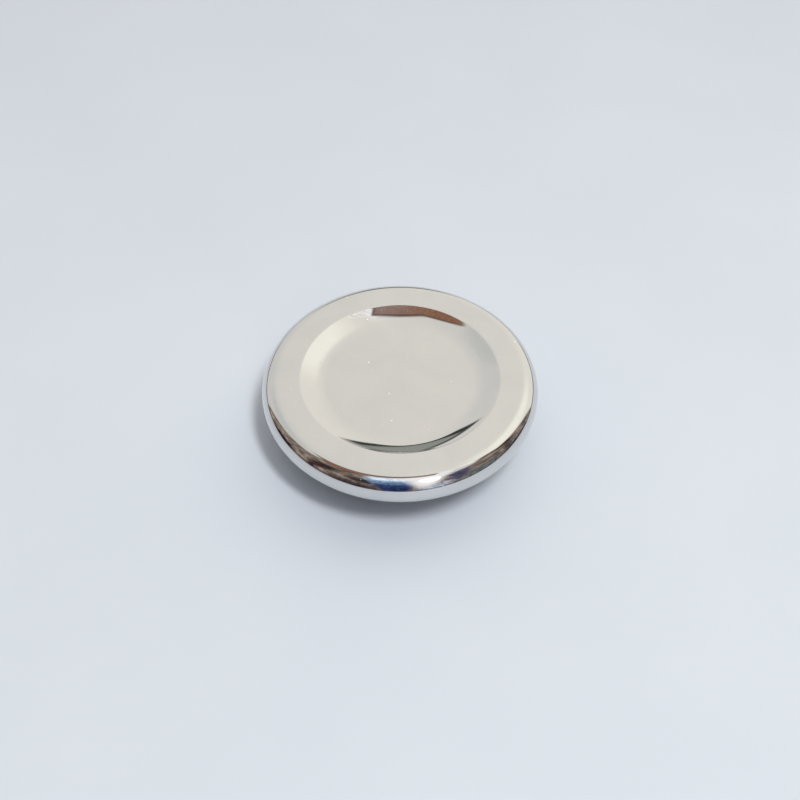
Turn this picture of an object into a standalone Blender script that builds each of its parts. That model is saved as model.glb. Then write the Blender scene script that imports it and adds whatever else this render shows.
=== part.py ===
"""Quarter-turn deck fill cap: a chromed cover, a bayonet lug cup, a sprung gasket and a two-way vent.

Metres, +Z up. The origin is where the cap's axis meets the plane that the lug cup stands on.
Profiles are lists of (radius, height) points; heights are above the piece's own base.
"""

import math

import bmesh
import bpy

MM = 0.001

# Driving dimensions
CAP_RADIUS = 31.0 * MM
CAP_HEIGHT = 17.2 * MM
NECK_BORE_RADIUS = 20.0 * MM
RING_SEGMENTS = 48
VALVE_SEGMENTS = 32
HOLE_SEGMENTS = 12
COIL_STEPS = 12
FIT = 0.1 * MM  # between pieces that are clamped together
TOUCH = 0.05 * MM  # between flat faces that rest on each other

# Cover
SHEET = 0.8 * MM
BEAD_RADIUS = 4.0 * MM
BEAD_CENTRE = (CAP_RADIUS - BEAD_RADIUS, CAP_HEIGHT - BEAD_RADIUS)
CURL_END = -125.0
DISH_FLOOR_RADIUS = 16.3 * MM
DISH_WALL_RADII = (19.15 * MM, 22.05 * MM)
DISH_LIP_RADIUS = 22.6 * MM
DISH_SLOPES = (21.2, 26.5)  # at the foot and the head of the dish's wall

# Backing pan
PAN_SHEET = 0.7 * MM
PAN_TOP = 13.3 * MM
PAN_WINDOW_RADIUS = 6.5 * MM
PAN_CORNER_RADIUS = 24.35 * MM
PAN_NEST_RADIUS = BEAD_RADIUS - SHEET - 1.5 * FIT
PAN_NEST_START = -172.0
PAN_NEST_END = 10.0
BREATHER_COUNT = 8
BREATHER_RADIUS = 0.8 * MM
BREATHER_CIRCLE = 21.5 * MM
BREATHER_FIRST_ANGLE = 22.5
BREATHER_CUT = (12 * MM, 14 * MM)

# Lug cup
CUP_SHEET = 0.9 * MM
CUP_RADIUS = NECK_BORE_RADIUS - 1.4 * MM
CUP_TOP = PAN_TOP - PAN_SHEET - FIT
CUP_CORNER = 1.0 * MM
CUP_INSIDE_BEVEL = 0.3 * MM
CUP_SKIRT_STEP = 0.5 * MM
SKIRT_STEP_HEIGHTS = (2.4 * MM, 1.9 * MM)
SKIRT_STEP_SLANT = 0.1
RIM_BEVEL = 0.35 * MM
RIM_LIP = 0.05 * MM
RIM_LIP_HEIGHTS = (0.25 * MM, 0.45 * MM)
GROOVE_HEIGHT = 9.425 * MM
GROOVE_DEPTH = 0.3 * MM
GROOVE_HALF_HEIGHTS = (0.68 * MM, 0.33 * MM)
LUG_ROOT_DEPTH = 0.1 * MM
LUG_RADIUS = 22.3 * MM
LUG_THICKNESS = 1.0 * MM
LUG_TOP = 2.2 * MM
LUG_HALF_SPAN = 18.0
LUG_FLAT_END = 9.0
LUG_LEAD_DROP = 0.5 * MM
LUG_STEPS = 8
CUP_VENT_COUNT = 4
CUP_VENT_RADIUS = 1.1 * MM
CUP_VENT_CIRCLE = 4.0 * MM
CUP_VENT_CUT = (11 * MM, 13 * MM)

# Rivets
RIVET_COUNT = 4
RIVET_CIRCLE = 13.0 * MM
RIVET_SHANK = 0.8 * MM
RIVET_HEAD = 1.5 * MM
RIVET_HEAD_HEIGHT = 0.65 * MM
RIVET_CHAMFER = 0.3 * MM
RIVET_HOLE = RIVET_SHANK + 1.5 * FIT
RIVET_FIRST_ANGLE = 45.0
RIVET_CUT = (9 * MM, 15 * MM)

# Valve cage
CAGE_TOP = CUP_TOP - CUP_SHEET - FIT
CAGE_BASE = 2.6 * MM
CAGE_FLANGE = 0.9 * MM
CAGE_FLANGE_RADIUS = 15.0 * MM
CAGE_BORE = 7.8 * MM
CAGE_WALL = 1.2 * MM
CAGE_FILLET = 0.6 * MM
SEAT_HEIGHT = 1.2 * MM
SEAT_INSET = 0.8 * MM
SEAT_BEVEL = (0.2 * MM, 0.3 * MM)
PORT_RADIUS = 5.0 * MM

# Relief valve
RELIEF_SEAL = 0.75 * MM
RELIEF_SEAL_RADII = (3.2 * MM, 6.6 * MM)
RELIEF_DISC = 0.7 * MM
RELIEF_DISC_RADIUS = 7.2 * MM
RELIEF_RIM = (0.5 * MM, 0.65 * MM)
RELIEF_BORE_GAP = 0.3 * MM
RELIEF_VENT_COUNT = 4
RELIEF_VENT_RADIUS = 0.45 * MM
RELIEF_VENT_CIRCLE = 2.1 * MM
RELIEF_VENT_FIRST_ANGLE = 45.0
RELIEF_VENT_CUT = (4 * MM, 6 * MM)
RELIEF_SPRING_RADIUS = 5.8 * MM
RELIEF_SPRING_WIRE = 0.6 * MM

# Vacuum valve
STEM_RADIUS = 0.6 * MM
STEM_TOP = 9.2 * MM
POPPET_BASE = 3.4 * MM
POPPET_HEAD = 0.65 * MM
POPPET_RADIUS = 2.9 * MM
POPPET_ROUNDING = 0.25 * MM
POPPET_SEGMENTS = 24
VACUUM_SEAL = 0.45 * MM
KEEPER_BASE = 8.4 * MM
KEEPER = 0.4 * MM
KEEPER_RADIUS = 1.8 * MM
VACUUM_SPRING_RADIUS = 1.35 * MM
VACUUM_SPRING_WIRE = 0.3 * MM
SPRING_END_TURNS = 1
SPRING_OPEN_TURNS = 3
SPRING_END_PITCH = 1.25  # of the wire

# Vent filter, flame screen and baffle
FILTER_RADIUS = 10.0 * MM
FILTER_SHEET = 0.7 * MM
BAFFLE_BASE = 1.2 * MM
BAFFLE_SHEET = 0.5 * MM
BAFFLE_RADIUS = 18.1 * MM
BAFFLE_HOLE_COUNT = 6
BAFFLE_HOLE_RADIUS = 2.4 * MM
BAFFLE_HOLE_CIRCLE = 11.5 * MM
BAFFLE_CUT = (0.0, 3 * MM)
SCREEN_SHEET = 0.2 * MM
SCREEN_HOLE_COUNT = 6
SCREEN_HOLE_RADIUS = 1.2 * MM
SCREEN_FIRST_ANGLE = 30.0
SCREEN_CUT = (1 * MM, 3 * MM)
BAFFLE_RING_WIRE = 0.8 * MM
BAFFLE_RING_RADIUS = 17.72 * MM
BAFFLE_RING_HEIGHT = 0.72 * MM

# Sprung gasket
GASKET_BASE = 7.6 * MM
GASKET_HEIGHT = 2.3 * MM
GASKET_RADII = (19.8 * MM, 23.2 * MM)
GASKET_BEVEL = 0.3 * MM
SEAL_PLATE_SHEET = 0.75 * MM
SEAL_PLATE_INNER = 18.8 * MM
SEAL_PLATE_OUTER = 24.0 * MM
SEAL_PLATE_RIM_DROP = 0.9 * MM
SEAL_PLATE_CORNER = 0.3 * MM
SLIP_WASHER_SHEET = 0.35 * MM
SLIP_WASHER_RADII = (18.9 * MM, 23.6 * MM)
WAVE_SPRING_RADII = (19.5 * MM, 23.4 * MM)
WAVE_SPRING_SHEET = 0.3 * MM
WAVE_COUNT = 4
WAVE_SEGMENTS = 64
SNAP_RING_WIRE = 0.85 * MM
SNAP_RING_RADIUS = 18.85 * MM
SNAP_RING_GAP = 15.0

# Heights that follow from the stack
GASKET_TOP = GASKET_BASE + GASKET_HEIGHT
SEAL_PLATE_BASE = GASKET_TOP + TOUCH
SLIP_WASHER_BASE = SEAL_PLATE_BASE + SEAL_PLATE_SHEET + TOUCH
WAVE_SPRING_BASE = SLIP_WASHER_BASE + SLIP_WASHER_SHEET + TOUCH
WAVE_SPRING_TOP = PAN_TOP - PAN_SHEET - TOUCH
RELIEF_SEAL_BASE = CAGE_BASE + SEAT_HEIGHT + TOUCH
RELIEF_DISC_BASE = RELIEF_SEAL_BASE + RELIEF_SEAL + TOUCH
RELIEF_SPRING_BASE = RELIEF_DISC_BASE + RELIEF_DISC + TOUCH
RELIEF_SPRING_TOP = CUP_TOP - CUP_SHEET - TOUCH
VACUUM_SEAL_BASE = POPPET_BASE + POPPET_HEAD + TOUCH
VACUUM_SPRING_TOP = KEEPER_BASE - TOUCH
SCREEN_BASE = BAFFLE_BASE + BAFFLE_SHEET + TOUCH

# Looks: base colour, metallic, roughness
CHROME = ((0.80, 0.80, 0.79), 1.0, 0.05)
ZINC = ((0.62, 0.63, 0.64), 1.0, 0.35)
STAINLESS = ((0.56, 0.55, 0.53), 1.0, 0.28)
SPRING_STEEL = ((0.38, 0.38, 0.39), 1.0, 0.30)
BRASS = ((0.72, 0.55, 0.27), 1.0, 0.30)
RUBBER = ((0.03, 0.03, 0.03), 0.0, 0.75)
FELT = ((0.55, 0.53, 0.48), 0.0, 0.95)


def clear_scene():
    for leftover in list(bpy.data.objects):
        bpy.data.objects.remove(leftover, do_unlink=True)


def carrier(name, height, parent=None):
    """An empty on the cap's axis that carries the pieces of one moving body."""
    empty = bpy.data.objects.new(name, None)
    empty.empty_display_size = 5 * MM
    bpy.context.scene.collection.objects.link(empty)
    place(empty, parent, height)
    return empty


def place(piece, parent, height):
    """Puts a piece on the axis with its base at a height above the cap's own base."""
    piece.parent = parent
    below = 0.0
    while parent is not None:
        below += parent.location.z
        parent = parent.parent
    piece.location.z = height - below


def paint(piece, look):
    """Gives the piece its own Principled BSDF material."""
    colour, metallic, roughness = look
    finish = bpy.data.materials.new(piece.name)
    finish.use_nodes = True
    shader = finish.node_tree.nodes["Principled BSDF"]
    shader.inputs["Base Color"].default_value = (*colour, 1.0)
    shader.inputs["Metallic"].default_value = metallic
    shader.inputs["Roughness"].default_value = roughness
    piece.data.materials.append(finish)


def mesh_piece(name, shape):
    """Turns a bmesh into a linked object with round faces shaded smooth."""
    bmesh.ops.remove_doubles(shape, verts=shape.verts, dist=0.001 * MM)
    bmesh.ops.recalc_face_normals(shape, faces=shape.faces)
    mesh = bpy.data.meshes.new(name)
    shape.to_mesh(mesh)
    shape.free()
    mesh.shade_smooth()
    mesh.set_sharp_from_angle(angle=math.radians(30))
    piece = bpy.data.objects.new(name, mesh)
    bpy.context.scene.collection.objects.link(piece)
    return piece


def arc(centre, radius, start, end, steps):
    """Points along an arc of a profile. Angles are in degrees, 0 outwards and 90 up."""
    points = []
    for step in range(steps + 1):
        angle = math.radians(start + (end - start) * step / steps)
        points.append((centre[0] + radius * math.cos(angle), centre[1] + radius * math.sin(angle)))
    return points


def turned(name, profile, segments=RING_SEGMENTS, sweep=360.0, start=0.0):
    """Spins a profile round the Z axis: a closed outline, or one whose two ends lie on the axis."""
    shape = bmesh.new()
    corners = []
    for radius, height in profile:
        turn = math.radians(start)
        corners.append(shape.verts.new((radius * math.cos(turn), radius * math.sin(turn), height)))
    pairs = list(zip(corners, corners[1:]))
    if profile[0][0] > 0.0:
        pairs.append((corners[-1], corners[0]))
    outline = [shape.edges.new(pair) for pair in pairs]
    if sweep < 360.0:
        outline.append(shape.faces.new(corners))
    bmesh.ops.spin(
        shape,
        geom=corners + outline,
        axis=(0.0, 0.0, 1.0),
        cent=(0.0, 0.0, 0.0),
        steps=segments,
        angle=math.radians(sweep),
        use_merge=sweep >= 360.0,
    )
    return mesh_piece(name, shape)


def flat_ring(name, inner, outer, thickness, segments=RING_SEGMENTS):
    profile = [(inner, 0.0), (outer, 0.0), (outer, thickness), (inner, thickness)]
    return turned(name, profile, segments)


def disc(name, radius, thickness, segments=RING_SEGMENTS):
    profile = [(0.0, 0.0), (radius, 0.0), (radius, thickness), (0.0, thickness)]
    return turned(name, profile, segments)


def wire_ring(name, radius, wire):
    """A round-wire snap ring, open at its gap, centred on height 0."""
    section = arc((radius, 0.0), wire / 2, 0, 300, 5)
    return turned(name, section, sweep=360.0 - SNAP_RING_GAP, start=SNAP_RING_GAP / 2)


def cutter(name, count, circle, radius, heights, first_angle=0.0):
    """A ring of upright round pegs between two heights that a Boolean cuts out of a piece."""
    low, high = heights
    shape = bmesh.new()
    for index in range(count):
        angle = math.radians(first_angle + 360.0 * index / count)
        made = bmesh.ops.create_cone(
            shape,
            cap_ends=True,
            segments=HOLE_SEGMENTS,
            radius1=radius,
            radius2=radius,
            depth=high - low,
        )
        middle = (circle * math.cos(angle), circle * math.sin(angle), (low + high) / 2)
        bmesh.ops.translate(shape, verts=made["verts"], vec=middle)
    pegs = mesh_piece(name, shape)
    pegs.hide_render = True
    pegs.display_type = "WIRE"
    return pegs


def combine(piece, other, operation):
    boolean = piece.modifiers.new(other.name, "BOOLEAN")
    boolean.operation = operation
    boolean.object = other
    boolean.solver = "EXACT"


def coil_spring(name, radius, wire, height):
    """A compression spring of round wire: close end turns and an open middle, standing on height 0."""
    end_rise = SPRING_END_PITCH * wire * SPRING_END_TURNS
    middle_rise = height - wire - 2 * end_rise
    turns = 2 * SPRING_END_TURNS + SPRING_OPEN_TURNS
    steps = round(turns * COIL_STEPS)
    curve = bpy.data.curves.new(name, "CURVE")
    curve.dimensions = "3D"
    curve.bevel_depth = wire / 2
    curve.bevel_resolution = 1
    curve.use_fill_caps = True
    line = curve.splines.new("POLY")
    line.points.add(steps)
    for step in range(steps + 1):
        turn = turns * step / steps
        past_end = turn - SPRING_END_TURNS
        low_rise = end_rise * min(turn / SPRING_END_TURNS, 1.0)
        open_rise = middle_rise * min(max(past_end / SPRING_OPEN_TURNS, 0.0), 1.0)
        high_rise = end_rise * max((past_end - SPRING_OPEN_TURNS) / SPRING_END_TURNS, 0.0)
        angle = 2 * math.pi * turn
        rise = wire / 2 + low_rise + open_rise + high_rise
        line.points[step].co = (radius * math.cos(angle), radius * math.sin(angle), rise, 1.0)
    spring = bpy.data.objects.new(name, curve)
    bpy.context.scene.collection.objects.link(spring)
    return spring


def dish_line(depth):
    """The dish's line at a depth below its outer face: floor, fillet, a slowly steepening wall, tight lip."""
    foot, head = DISH_WALL_RADII
    low, high = (math.radians(slope) for slope in DISH_SLOPES)
    floor_fillet = (foot - DISH_FLOOR_RADIUS) / math.sin(low)
    wall = (head - foot) / (math.sin(high) - math.sin(low))
    lip_fillet = (DISH_LIP_RADIUS - head) / math.sin(high)
    head_height = CAP_HEIGHT - lip_fillet * (1 - math.cos(high))
    foot_height = head_height - wall * (math.cos(low) - math.cos(high))
    floor = foot_height - floor_fillet * (1 - math.cos(low))
    floor_centre = (DISH_FLOOR_RADIUS, floor + floor_fillet)
    wall_centre = (foot - wall * math.sin(low), foot_height + wall * math.cos(low))
    lip_centre = (DISH_LIP_RADIUS, CAP_HEIGHT - lip_fillet)
    line = [(0.0, floor - depth)]
    line += arc(floor_centre, floor_fillet + depth, -90, DISH_SLOPES[0] - 90, 3)
    line += arc(wall_centre, wall + depth, DISH_SLOPES[0] - 90, DISH_SLOPES[1] - 90, 2)[1:]
    line += arc(lip_centre, lip_fillet - depth, 90 + DISH_SLOPES[1], 90, 2)[1:]
    return line


def cover_line(depth):
    """The cover's line at a depth below its outer face, from the middle of the dish to the curl's end."""
    line = dish_line(depth)
    line += arc(BEAD_CENTRE, BEAD_RADIUS - depth, 90, 0, 5)
    line += arc(BEAD_CENTRE, BEAD_RADIUS - depth, 0, CURL_END, 7)[1:]
    return line


def cover_shell():
    """The polished cover: a shallow dish, a flat shoulder and a rolled bead curled under at its edge."""
    return turned("cover_shell", cover_line(0.0) + cover_line(SHEET)[::-1])


def backing_pan():
    """The pressed pan under the cover, whose edge nests in the cover's bead."""
    pan_bottom = PAN_TOP - PAN_SHEET
    drop = BEAD_CENTRE[1] - pan_bottom
    nest_start = -180.0 + math.degrees(math.asin(drop / PAN_NEST_RADIUS))
    top = [(PAN_WINDOW_RADIUS, PAN_TOP), (PAN_CORNER_RADIUS, PAN_TOP)]
    top += arc(BEAD_CENTRE, PAN_NEST_RADIUS - PAN_SHEET, PAN_NEST_START, PAN_NEST_END, 7)
    bottom = [(PAN_WINDOW_RADIUS, pan_bottom)]
    bottom += arc(BEAD_CENTRE, PAN_NEST_RADIUS, nest_start, PAN_NEST_END, 7)
    return turned("backing_pan", top + bottom[::-1])


def lug(name, first_angle):
    """One bayonet lug: a flat tongue round the cup's skirt, dipped at one end as a lead-in."""
    root = CUP_RADIUS - LUG_ROOT_DEPTH
    shape = bmesh.new()
    sections = []
    for step in range(LUG_STEPS + 1):
        turn = -LUG_HALF_SPAN + 2 * LUG_HALF_SPAN * step / LUG_STEPS
        lead = max(turn - LUG_FLAT_END, 0.0) / (LUG_HALF_SPAN - LUG_FLAT_END)
        top = LUG_TOP - LUG_LEAD_DROP * lead
        angle = math.radians(first_angle + turn)
        section = []
        corners = [(root, top - LUG_THICKNESS), (LUG_RADIUS, top - LUG_THICKNESS)]
        corners += [(LUG_RADIUS, top), (root, top)]
        for radius, height in corners:
            section.append(shape.verts.new((radius * math.cos(angle), radius * math.sin(angle), height)))
        sections.append(section)
    shape.faces.new(sections[0])
    shape.faces.new(sections[-1])
    for before, after in zip(sections, sections[1:]):
        for corner in range(4):
            following = (corner + 1) % 4
            shape.faces.new((before[corner], before[following], after[following], after[corner]))
    tongue = mesh_piece(name, shape)
    tongue.hide_render = True
    tongue.display_type = "WIRE"
    return tongue


def cup_line(inwards):
    """The cup's wall at a distance inside its outer face, from its top corner down to its skirt."""
    wall = CUP_RADIUS - inwards
    groove = wall - GROOVE_DEPTH
    skirt = wall + CUP_SKIRT_STEP
    wide, narrow = GROOVE_HALF_HEIGHTS
    step_top, step_bottom = SKIRT_STEP_HEIGHTS
    line = [(wall, GROOVE_HEIGHT + wide), (groove, GROOVE_HEIGHT + narrow)]
    line += [(groove, GROOVE_HEIGHT - narrow), (wall, GROOVE_HEIGHT - wide)]
    line += [(wall, step_top), (skirt, step_bottom + SKIRT_STEP_SLANT * inwards)]
    return line


def lug_cup():
    """The inner cup: closed top, a rolled groove, a stepped skirt with an inturned lip, and two lugs."""
    inner_wall = CUP_RADIUS - CUP_SHEET
    skirt = CUP_RADIUS + CUP_SKIRT_STEP
    lip = inner_wall + RIM_LIP
    ceiling = CUP_TOP - CUP_SHEET
    profile = [(0.0, CUP_TOP)]
    profile += arc((CUP_RADIUS - CUP_CORNER, CUP_TOP - CUP_CORNER), CUP_CORNER, 90, 0, 3)
    profile += cup_line(0.0)
    profile += [(skirt, RIM_BEVEL), (skirt - RIM_BEVEL, 0.0), (lip, 0.0)]
    profile += [(lip, RIM_LIP_HEIGHTS[0]), (inner_wall + CUP_SKIRT_STEP, RIM_LIP_HEIGHTS[1])]
    profile += cup_line(CUP_SHEET)[::-1]
    profile += [(inner_wall, ceiling - CUP_INSIDE_BEVEL), (inner_wall - CUP_INSIDE_BEVEL, ceiling)]
    profile += [(0.0, ceiling)]
    cup = turned("lug_cup", profile)
    combine(cup, lug("lug_shape_1", 0.0), "UNION")
    combine(cup, lug("lug_shape_2", 180.0), "UNION")
    return cup


def cup_rivets():
    """Rivets through the pan, the cup's top and the cage's flange, sharing one mesh."""
    low = CAGE_TOP - CAGE_FLANGE - TOUCH
    high = PAN_TOP + TOUCH
    crown = RIVET_HEAD - 2 * RIVET_CHAMFER
    profile = [(0.0, high + RIVET_HEAD_HEIGHT), (crown, high + RIVET_HEAD_HEIGHT)]
    profile += [(RIVET_HEAD, high + RIVET_CHAMFER), (RIVET_HEAD, high), (RIVET_SHANK, high)]
    profile += [(RIVET_SHANK, low), (RIVET_HEAD, low), (RIVET_HEAD, low - RIVET_CHAMFER)]
    profile += [(crown, low - RIVET_HEAD_HEIGHT), (0.0, low - RIVET_HEAD_HEIGHT)]
    rivets = [turned("cup_rivet_1", profile, HOLE_SEGMENTS)]
    for number in range(2, RIVET_COUNT + 1):
        rivet = bpy.data.objects.new(f"cup_rivet_{number}", rivets[0].data)
        bpy.context.scene.collection.objects.link(rivet)
        rivets.append(rivet)
    for index, rivet in enumerate(rivets):
        angle = math.radians(RIVET_FIRST_ANGLE + 360.0 * index / RIVET_COUNT)
        rivet.location = (RIVET_CIRCLE * math.cos(angle), RIVET_CIRCLE * math.sin(angle), 0.0)
        rivet.rotation_euler.z = angle
    return rivets


def valve_cage():
    """The turned cage that guides the relief disc and carries its seat, hung from the cup's top."""
    height = CAGE_TOP - CAGE_BASE
    flange = height - CAGE_FLANGE
    tube = CAGE_BORE + CAGE_WALL
    seat_outer = RELIEF_SEAL_RADII[1] - SEAT_INSET
    bevel_width, bevel_drop = SEAT_BEVEL
    profile = [(CAGE_BORE, height), (CAGE_FLANGE_RADIUS, height)]
    profile += [(CAGE_FLANGE_RADIUS, flange), (tube + CAGE_FILLET, flange)]
    profile += [(tube, flange - CAGE_FILLET), (tube, CAGE_FILLET), (tube - CAGE_FILLET, 0.0)]
    profile += [(PORT_RADIUS, 0.0), (PORT_RADIUS, SEAT_HEIGHT), (seat_outer, SEAT_HEIGHT)]
    profile += [(seat_outer + bevel_width, SEAT_HEIGHT - bevel_drop), (CAGE_BORE, SEAT_HEIGHT - bevel_drop)]
    return turned("valve_cage", profile, VALVE_SEGMENTS)


def relief_disc():
    """The relief valve's disc, with a rim that centres its spring and vents for the vacuum valve."""
    rim_width, rim_height = RELIEF_RIM
    inside = RELIEF_DISC_RADIUS - rim_width
    bore = STEM_RADIUS + RELIEF_BORE_GAP
    profile = [(bore, 0.0), (RELIEF_DISC_RADIUS, 0.0), (RELIEF_DISC_RADIUS, RELIEF_DISC + rim_height)]
    profile += [(inside, RELIEF_DISC + rim_height), (inside, RELIEF_DISC), (bore, RELIEF_DISC)]
    return turned("relief_disc", profile, VALVE_SEGMENTS)


def vacuum_poppet():
    """The vacuum valve: a headed stem that hangs through the relief disc."""
    length = STEM_TOP - POPPET_BASE
    profile = [(0.0, 0.0), (POPPET_RADIUS - POPPET_ROUNDING, 0.0), (POPPET_RADIUS, POPPET_ROUNDING)]
    profile += [(POPPET_RADIUS, POPPET_HEAD), (STEM_RADIUS, POPPET_HEAD)]
    profile += [(STEM_RADIUS, length - POPPET_ROUNDING)]
    profile += [(STEM_RADIUS - POPPET_ROUNDING, length), (0.0, length)]
    return turned("vacuum_poppet", profile, POPPET_SEGMENTS)


def gasket():
    """The rubber ring that seals on the filler neck: flat below, with bevelled edges."""
    inner, outer = GASKET_RADII
    profile = [(inner + GASKET_BEVEL, 0.0), (outer - GASKET_BEVEL, 0.0), (outer, GASKET_BEVEL)]
    profile += [(outer, GASKET_HEIGHT), (inner, GASKET_HEIGHT), (inner, GASKET_BEVEL)]
    return turned("gasket", profile)


def seal_plate():
    """The steel ring that backs the gasket, with a rim turned down round the rubber."""
    rim_inside = GASKET_RADII[1] + FIT
    shoulder = SEAL_PLATE_SHEET - SEAL_PLATE_CORNER
    profile = [(SEAL_PLATE_INNER, 0.0), (rim_inside, 0.0), (rim_inside, -SEAL_PLATE_RIM_DROP)]
    profile += [(SEAL_PLATE_OUTER, -SEAL_PLATE_RIM_DROP), (SEAL_PLATE_OUTER, shoulder)]
    profile += [(SEAL_PLATE_OUTER - SEAL_PLATE_CORNER, SEAL_PLATE_SHEET)]
    profile += [(SEAL_PLATE_INNER, SEAL_PLATE_SHEET)]
    return turned("seal_plate", profile)


def wave_spring():
    """A flat ring pressed into waves, which pushes the gasket down from the pan."""
    inner, outer = WAVE_SPRING_RADII
    swing = (WAVE_SPRING_TOP - WAVE_SPRING_BASE - WAVE_SPRING_SHEET) / 2
    spring = flat_ring("wave_spring", inner, outer, WAVE_SPRING_SHEET, WAVE_SEGMENTS)
    for corner in spring.data.vertices:
        angle = math.atan2(corner.co.y, corner.co.x)
        corner.co.z += swing * (1.0 + math.cos(WAVE_COUNT * angle))
    return spring


def fixed_pieces():
    """The pieces that stay with the cover, each with its look and the height of its base."""
    cover = carrier("cover_carrier", 0.0)
    pan = backing_pan()
    cup = lug_cup()
    cage = valve_cage()
    for piece, look, height in (
        (cover_shell(), CHROME, 0.0),
        (pan, ZINC, 0.0),
        (cup, STAINLESS, 0.0),
        (cage, BRASS, CAGE_BASE),
        (disc("vent_filter", FILTER_RADIUS, FILTER_SHEET, VALVE_SEGMENTS), FELT, PAN_TOP + TOUCH),
        (wave_spring(), SPRING_STEEL, WAVE_SPRING_BASE),
    ):
        place(piece, cover, height)
        paint(piece, look)
    for index, rivet in enumerate(cup_rivets()):
        rivet.parent = cover
        if index == 0:
            paint(rivet, STAINLESS)
    spring_height = RELIEF_SPRING_TOP - RELIEF_SPRING_BASE
    spring = coil_spring("relief_spring", RELIEF_SPRING_RADIUS, RELIEF_SPRING_WIRE, spring_height)
    place(spring, cover, RELIEF_SPRING_BASE)
    paint(spring, SPRING_STEEL)
    rivet_holes = cutter(
        "rivet_holes", RIVET_COUNT, RIVET_CIRCLE, RIVET_HOLE, RIVET_CUT, RIVET_FIRST_ANGLE
    )
    for piece in (pan, cup, cage):
        combine(piece, rivet_holes, "DIFFERENCE")
    breathers = cutter(
        "breather_holes", BREATHER_COUNT, BREATHER_CIRCLE, BREATHER_RADIUS, BREATHER_CUT, BREATHER_FIRST_ANGLE
    )
    combine(pan, breathers, "DIFFERENCE")
    vents = cutter("cup_vents", CUP_VENT_COUNT, CUP_VENT_CIRCLE, CUP_VENT_RADIUS, CUP_VENT_CUT)
    combine(cup, vents, "DIFFERENCE")
    return cover


def screen_stack(cover):
    """The flame screen and the baffle plate in the cup's skirt, with the ring that holds them."""
    baffle = disc("baffle_plate", BAFFLE_RADIUS, BAFFLE_SHEET)
    holes = cutter("baffle_holes", BAFFLE_HOLE_COUNT, BAFFLE_HOLE_CIRCLE, BAFFLE_HOLE_RADIUS, BAFFLE_CUT)
    combine(baffle, holes, "DIFFERENCE")
    screen = disc("flame_screen", BAFFLE_RADIUS - TOUCH, SCREEN_SHEET)
    mesh_holes = cutter(
        "screen_holes",
        SCREEN_HOLE_COUNT,
        BAFFLE_HOLE_CIRCLE,
        SCREEN_HOLE_RADIUS,
        SCREEN_CUT,
        SCREEN_FIRST_ANGLE,
    )
    combine(screen, mesh_holes, "DIFFERENCE")
    ring = wire_ring("baffle_snap_ring", BAFFLE_RING_RADIUS, BAFFLE_RING_WIRE)
    stop_ring = wire_ring("seal_snap_ring", SNAP_RING_RADIUS, SNAP_RING_WIRE)
    for piece, look, height in (
        (baffle, ZINC, BAFFLE_BASE),
        (screen, STAINLESS, SCREEN_BASE),
        (ring, SPRING_STEEL, BAFFLE_RING_HEIGHT),
        (stop_ring, SPRING_STEEL, GROOVE_HEIGHT),
    ):
        place(piece, cover, height)
        paint(piece, look)


def seal_pieces(cover):
    """The gasket's own stack: it rises with the slip washer and turns freely under it."""
    washer_carrier = carrier("seal_travel_carrier", SLIP_WASHER_BASE, cover)
    seal_carrier = carrier("seal_spin_carrier", GASKET_BASE, washer_carrier)
    washer = flat_ring("slip_washer", *SLIP_WASHER_RADII, SLIP_WASHER_SHEET)
    for piece, parent, look, height in (
        (washer, washer_carrier, STAINLESS, SLIP_WASHER_BASE),
        (seal_plate(), seal_carrier, ZINC, SEAL_PLATE_BASE),
        (gasket(), seal_carrier, RUBBER, GASKET_BASE),
    ):
        place(piece, parent, height)
        paint(piece, look)


def valve_pieces(cover):
    """The relief valve, which lifts, and the vacuum valve that hangs in it, which drops."""
    relief = carrier("relief_carrier", RELIEF_SEAL_BASE, cover)
    vacuum = carrier("vacuum_carrier", POPPET_BASE, relief)
    lift_disc = relief_disc()
    vents = cutter(
        "relief_vents",
        RELIEF_VENT_COUNT,
        RELIEF_VENT_CIRCLE,
        RELIEF_VENT_RADIUS,
        RELIEF_VENT_CUT,
        RELIEF_VENT_FIRST_ANGLE,
    )
    combine(lift_disc, vents, "DIFFERENCE")
    relief_seal = flat_ring("relief_seal", *RELIEF_SEAL_RADII, RELIEF_SEAL, VALVE_SEGMENTS)
    stem_hole = STEM_RADIUS + TOUCH + FIT
    vacuum_seal = flat_ring("vacuum_seal", stem_hole, POPPET_RADIUS - FIT, VACUUM_SEAL, POPPET_SEGMENTS)
    keeper = flat_ring("vacuum_keeper", STEM_RADIUS + TOUCH, KEEPER_RADIUS, KEEPER, POPPET_SEGMENTS)
    spring_base = RELIEF_SPRING_BASE
    spring_height = VACUUM_SPRING_TOP - spring_base
    spring = coil_spring("vacuum_spring", VACUUM_SPRING_RADIUS, VACUUM_SPRING_WIRE, spring_height)
    for piece, parent, look, height in (
        (relief_seal, relief, RUBBER, RELIEF_SEAL_BASE),
        (lift_disc, relief, BRASS, RELIEF_DISC_BASE),
        (spring, relief, SPRING_STEEL, spring_base),
        (vacuum_poppet(), vacuum, BRASS, POPPET_BASE),
        (vacuum_seal, vacuum, RUBBER, VACUUM_SEAL_BASE),
        (keeper, vacuum, STAINLESS, KEEPER_BASE),
    ):
        place(piece, parent, height)
        paint(piece, look)


clear_scene()
cover_parent = fixed_pieces()
screen_stack(cover_parent)
seal_pieces(cover_parent)
valve_pieces(cover_parent)
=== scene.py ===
"""Looks of the deck fill cap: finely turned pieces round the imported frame, their materials, and a studio.

Metres, +Z up, as the frame. Profiles are lists of (radius, height) points.
"""

import math

import bmesh
import bpy
from mathutils import Matrix, Vector, noise


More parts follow.
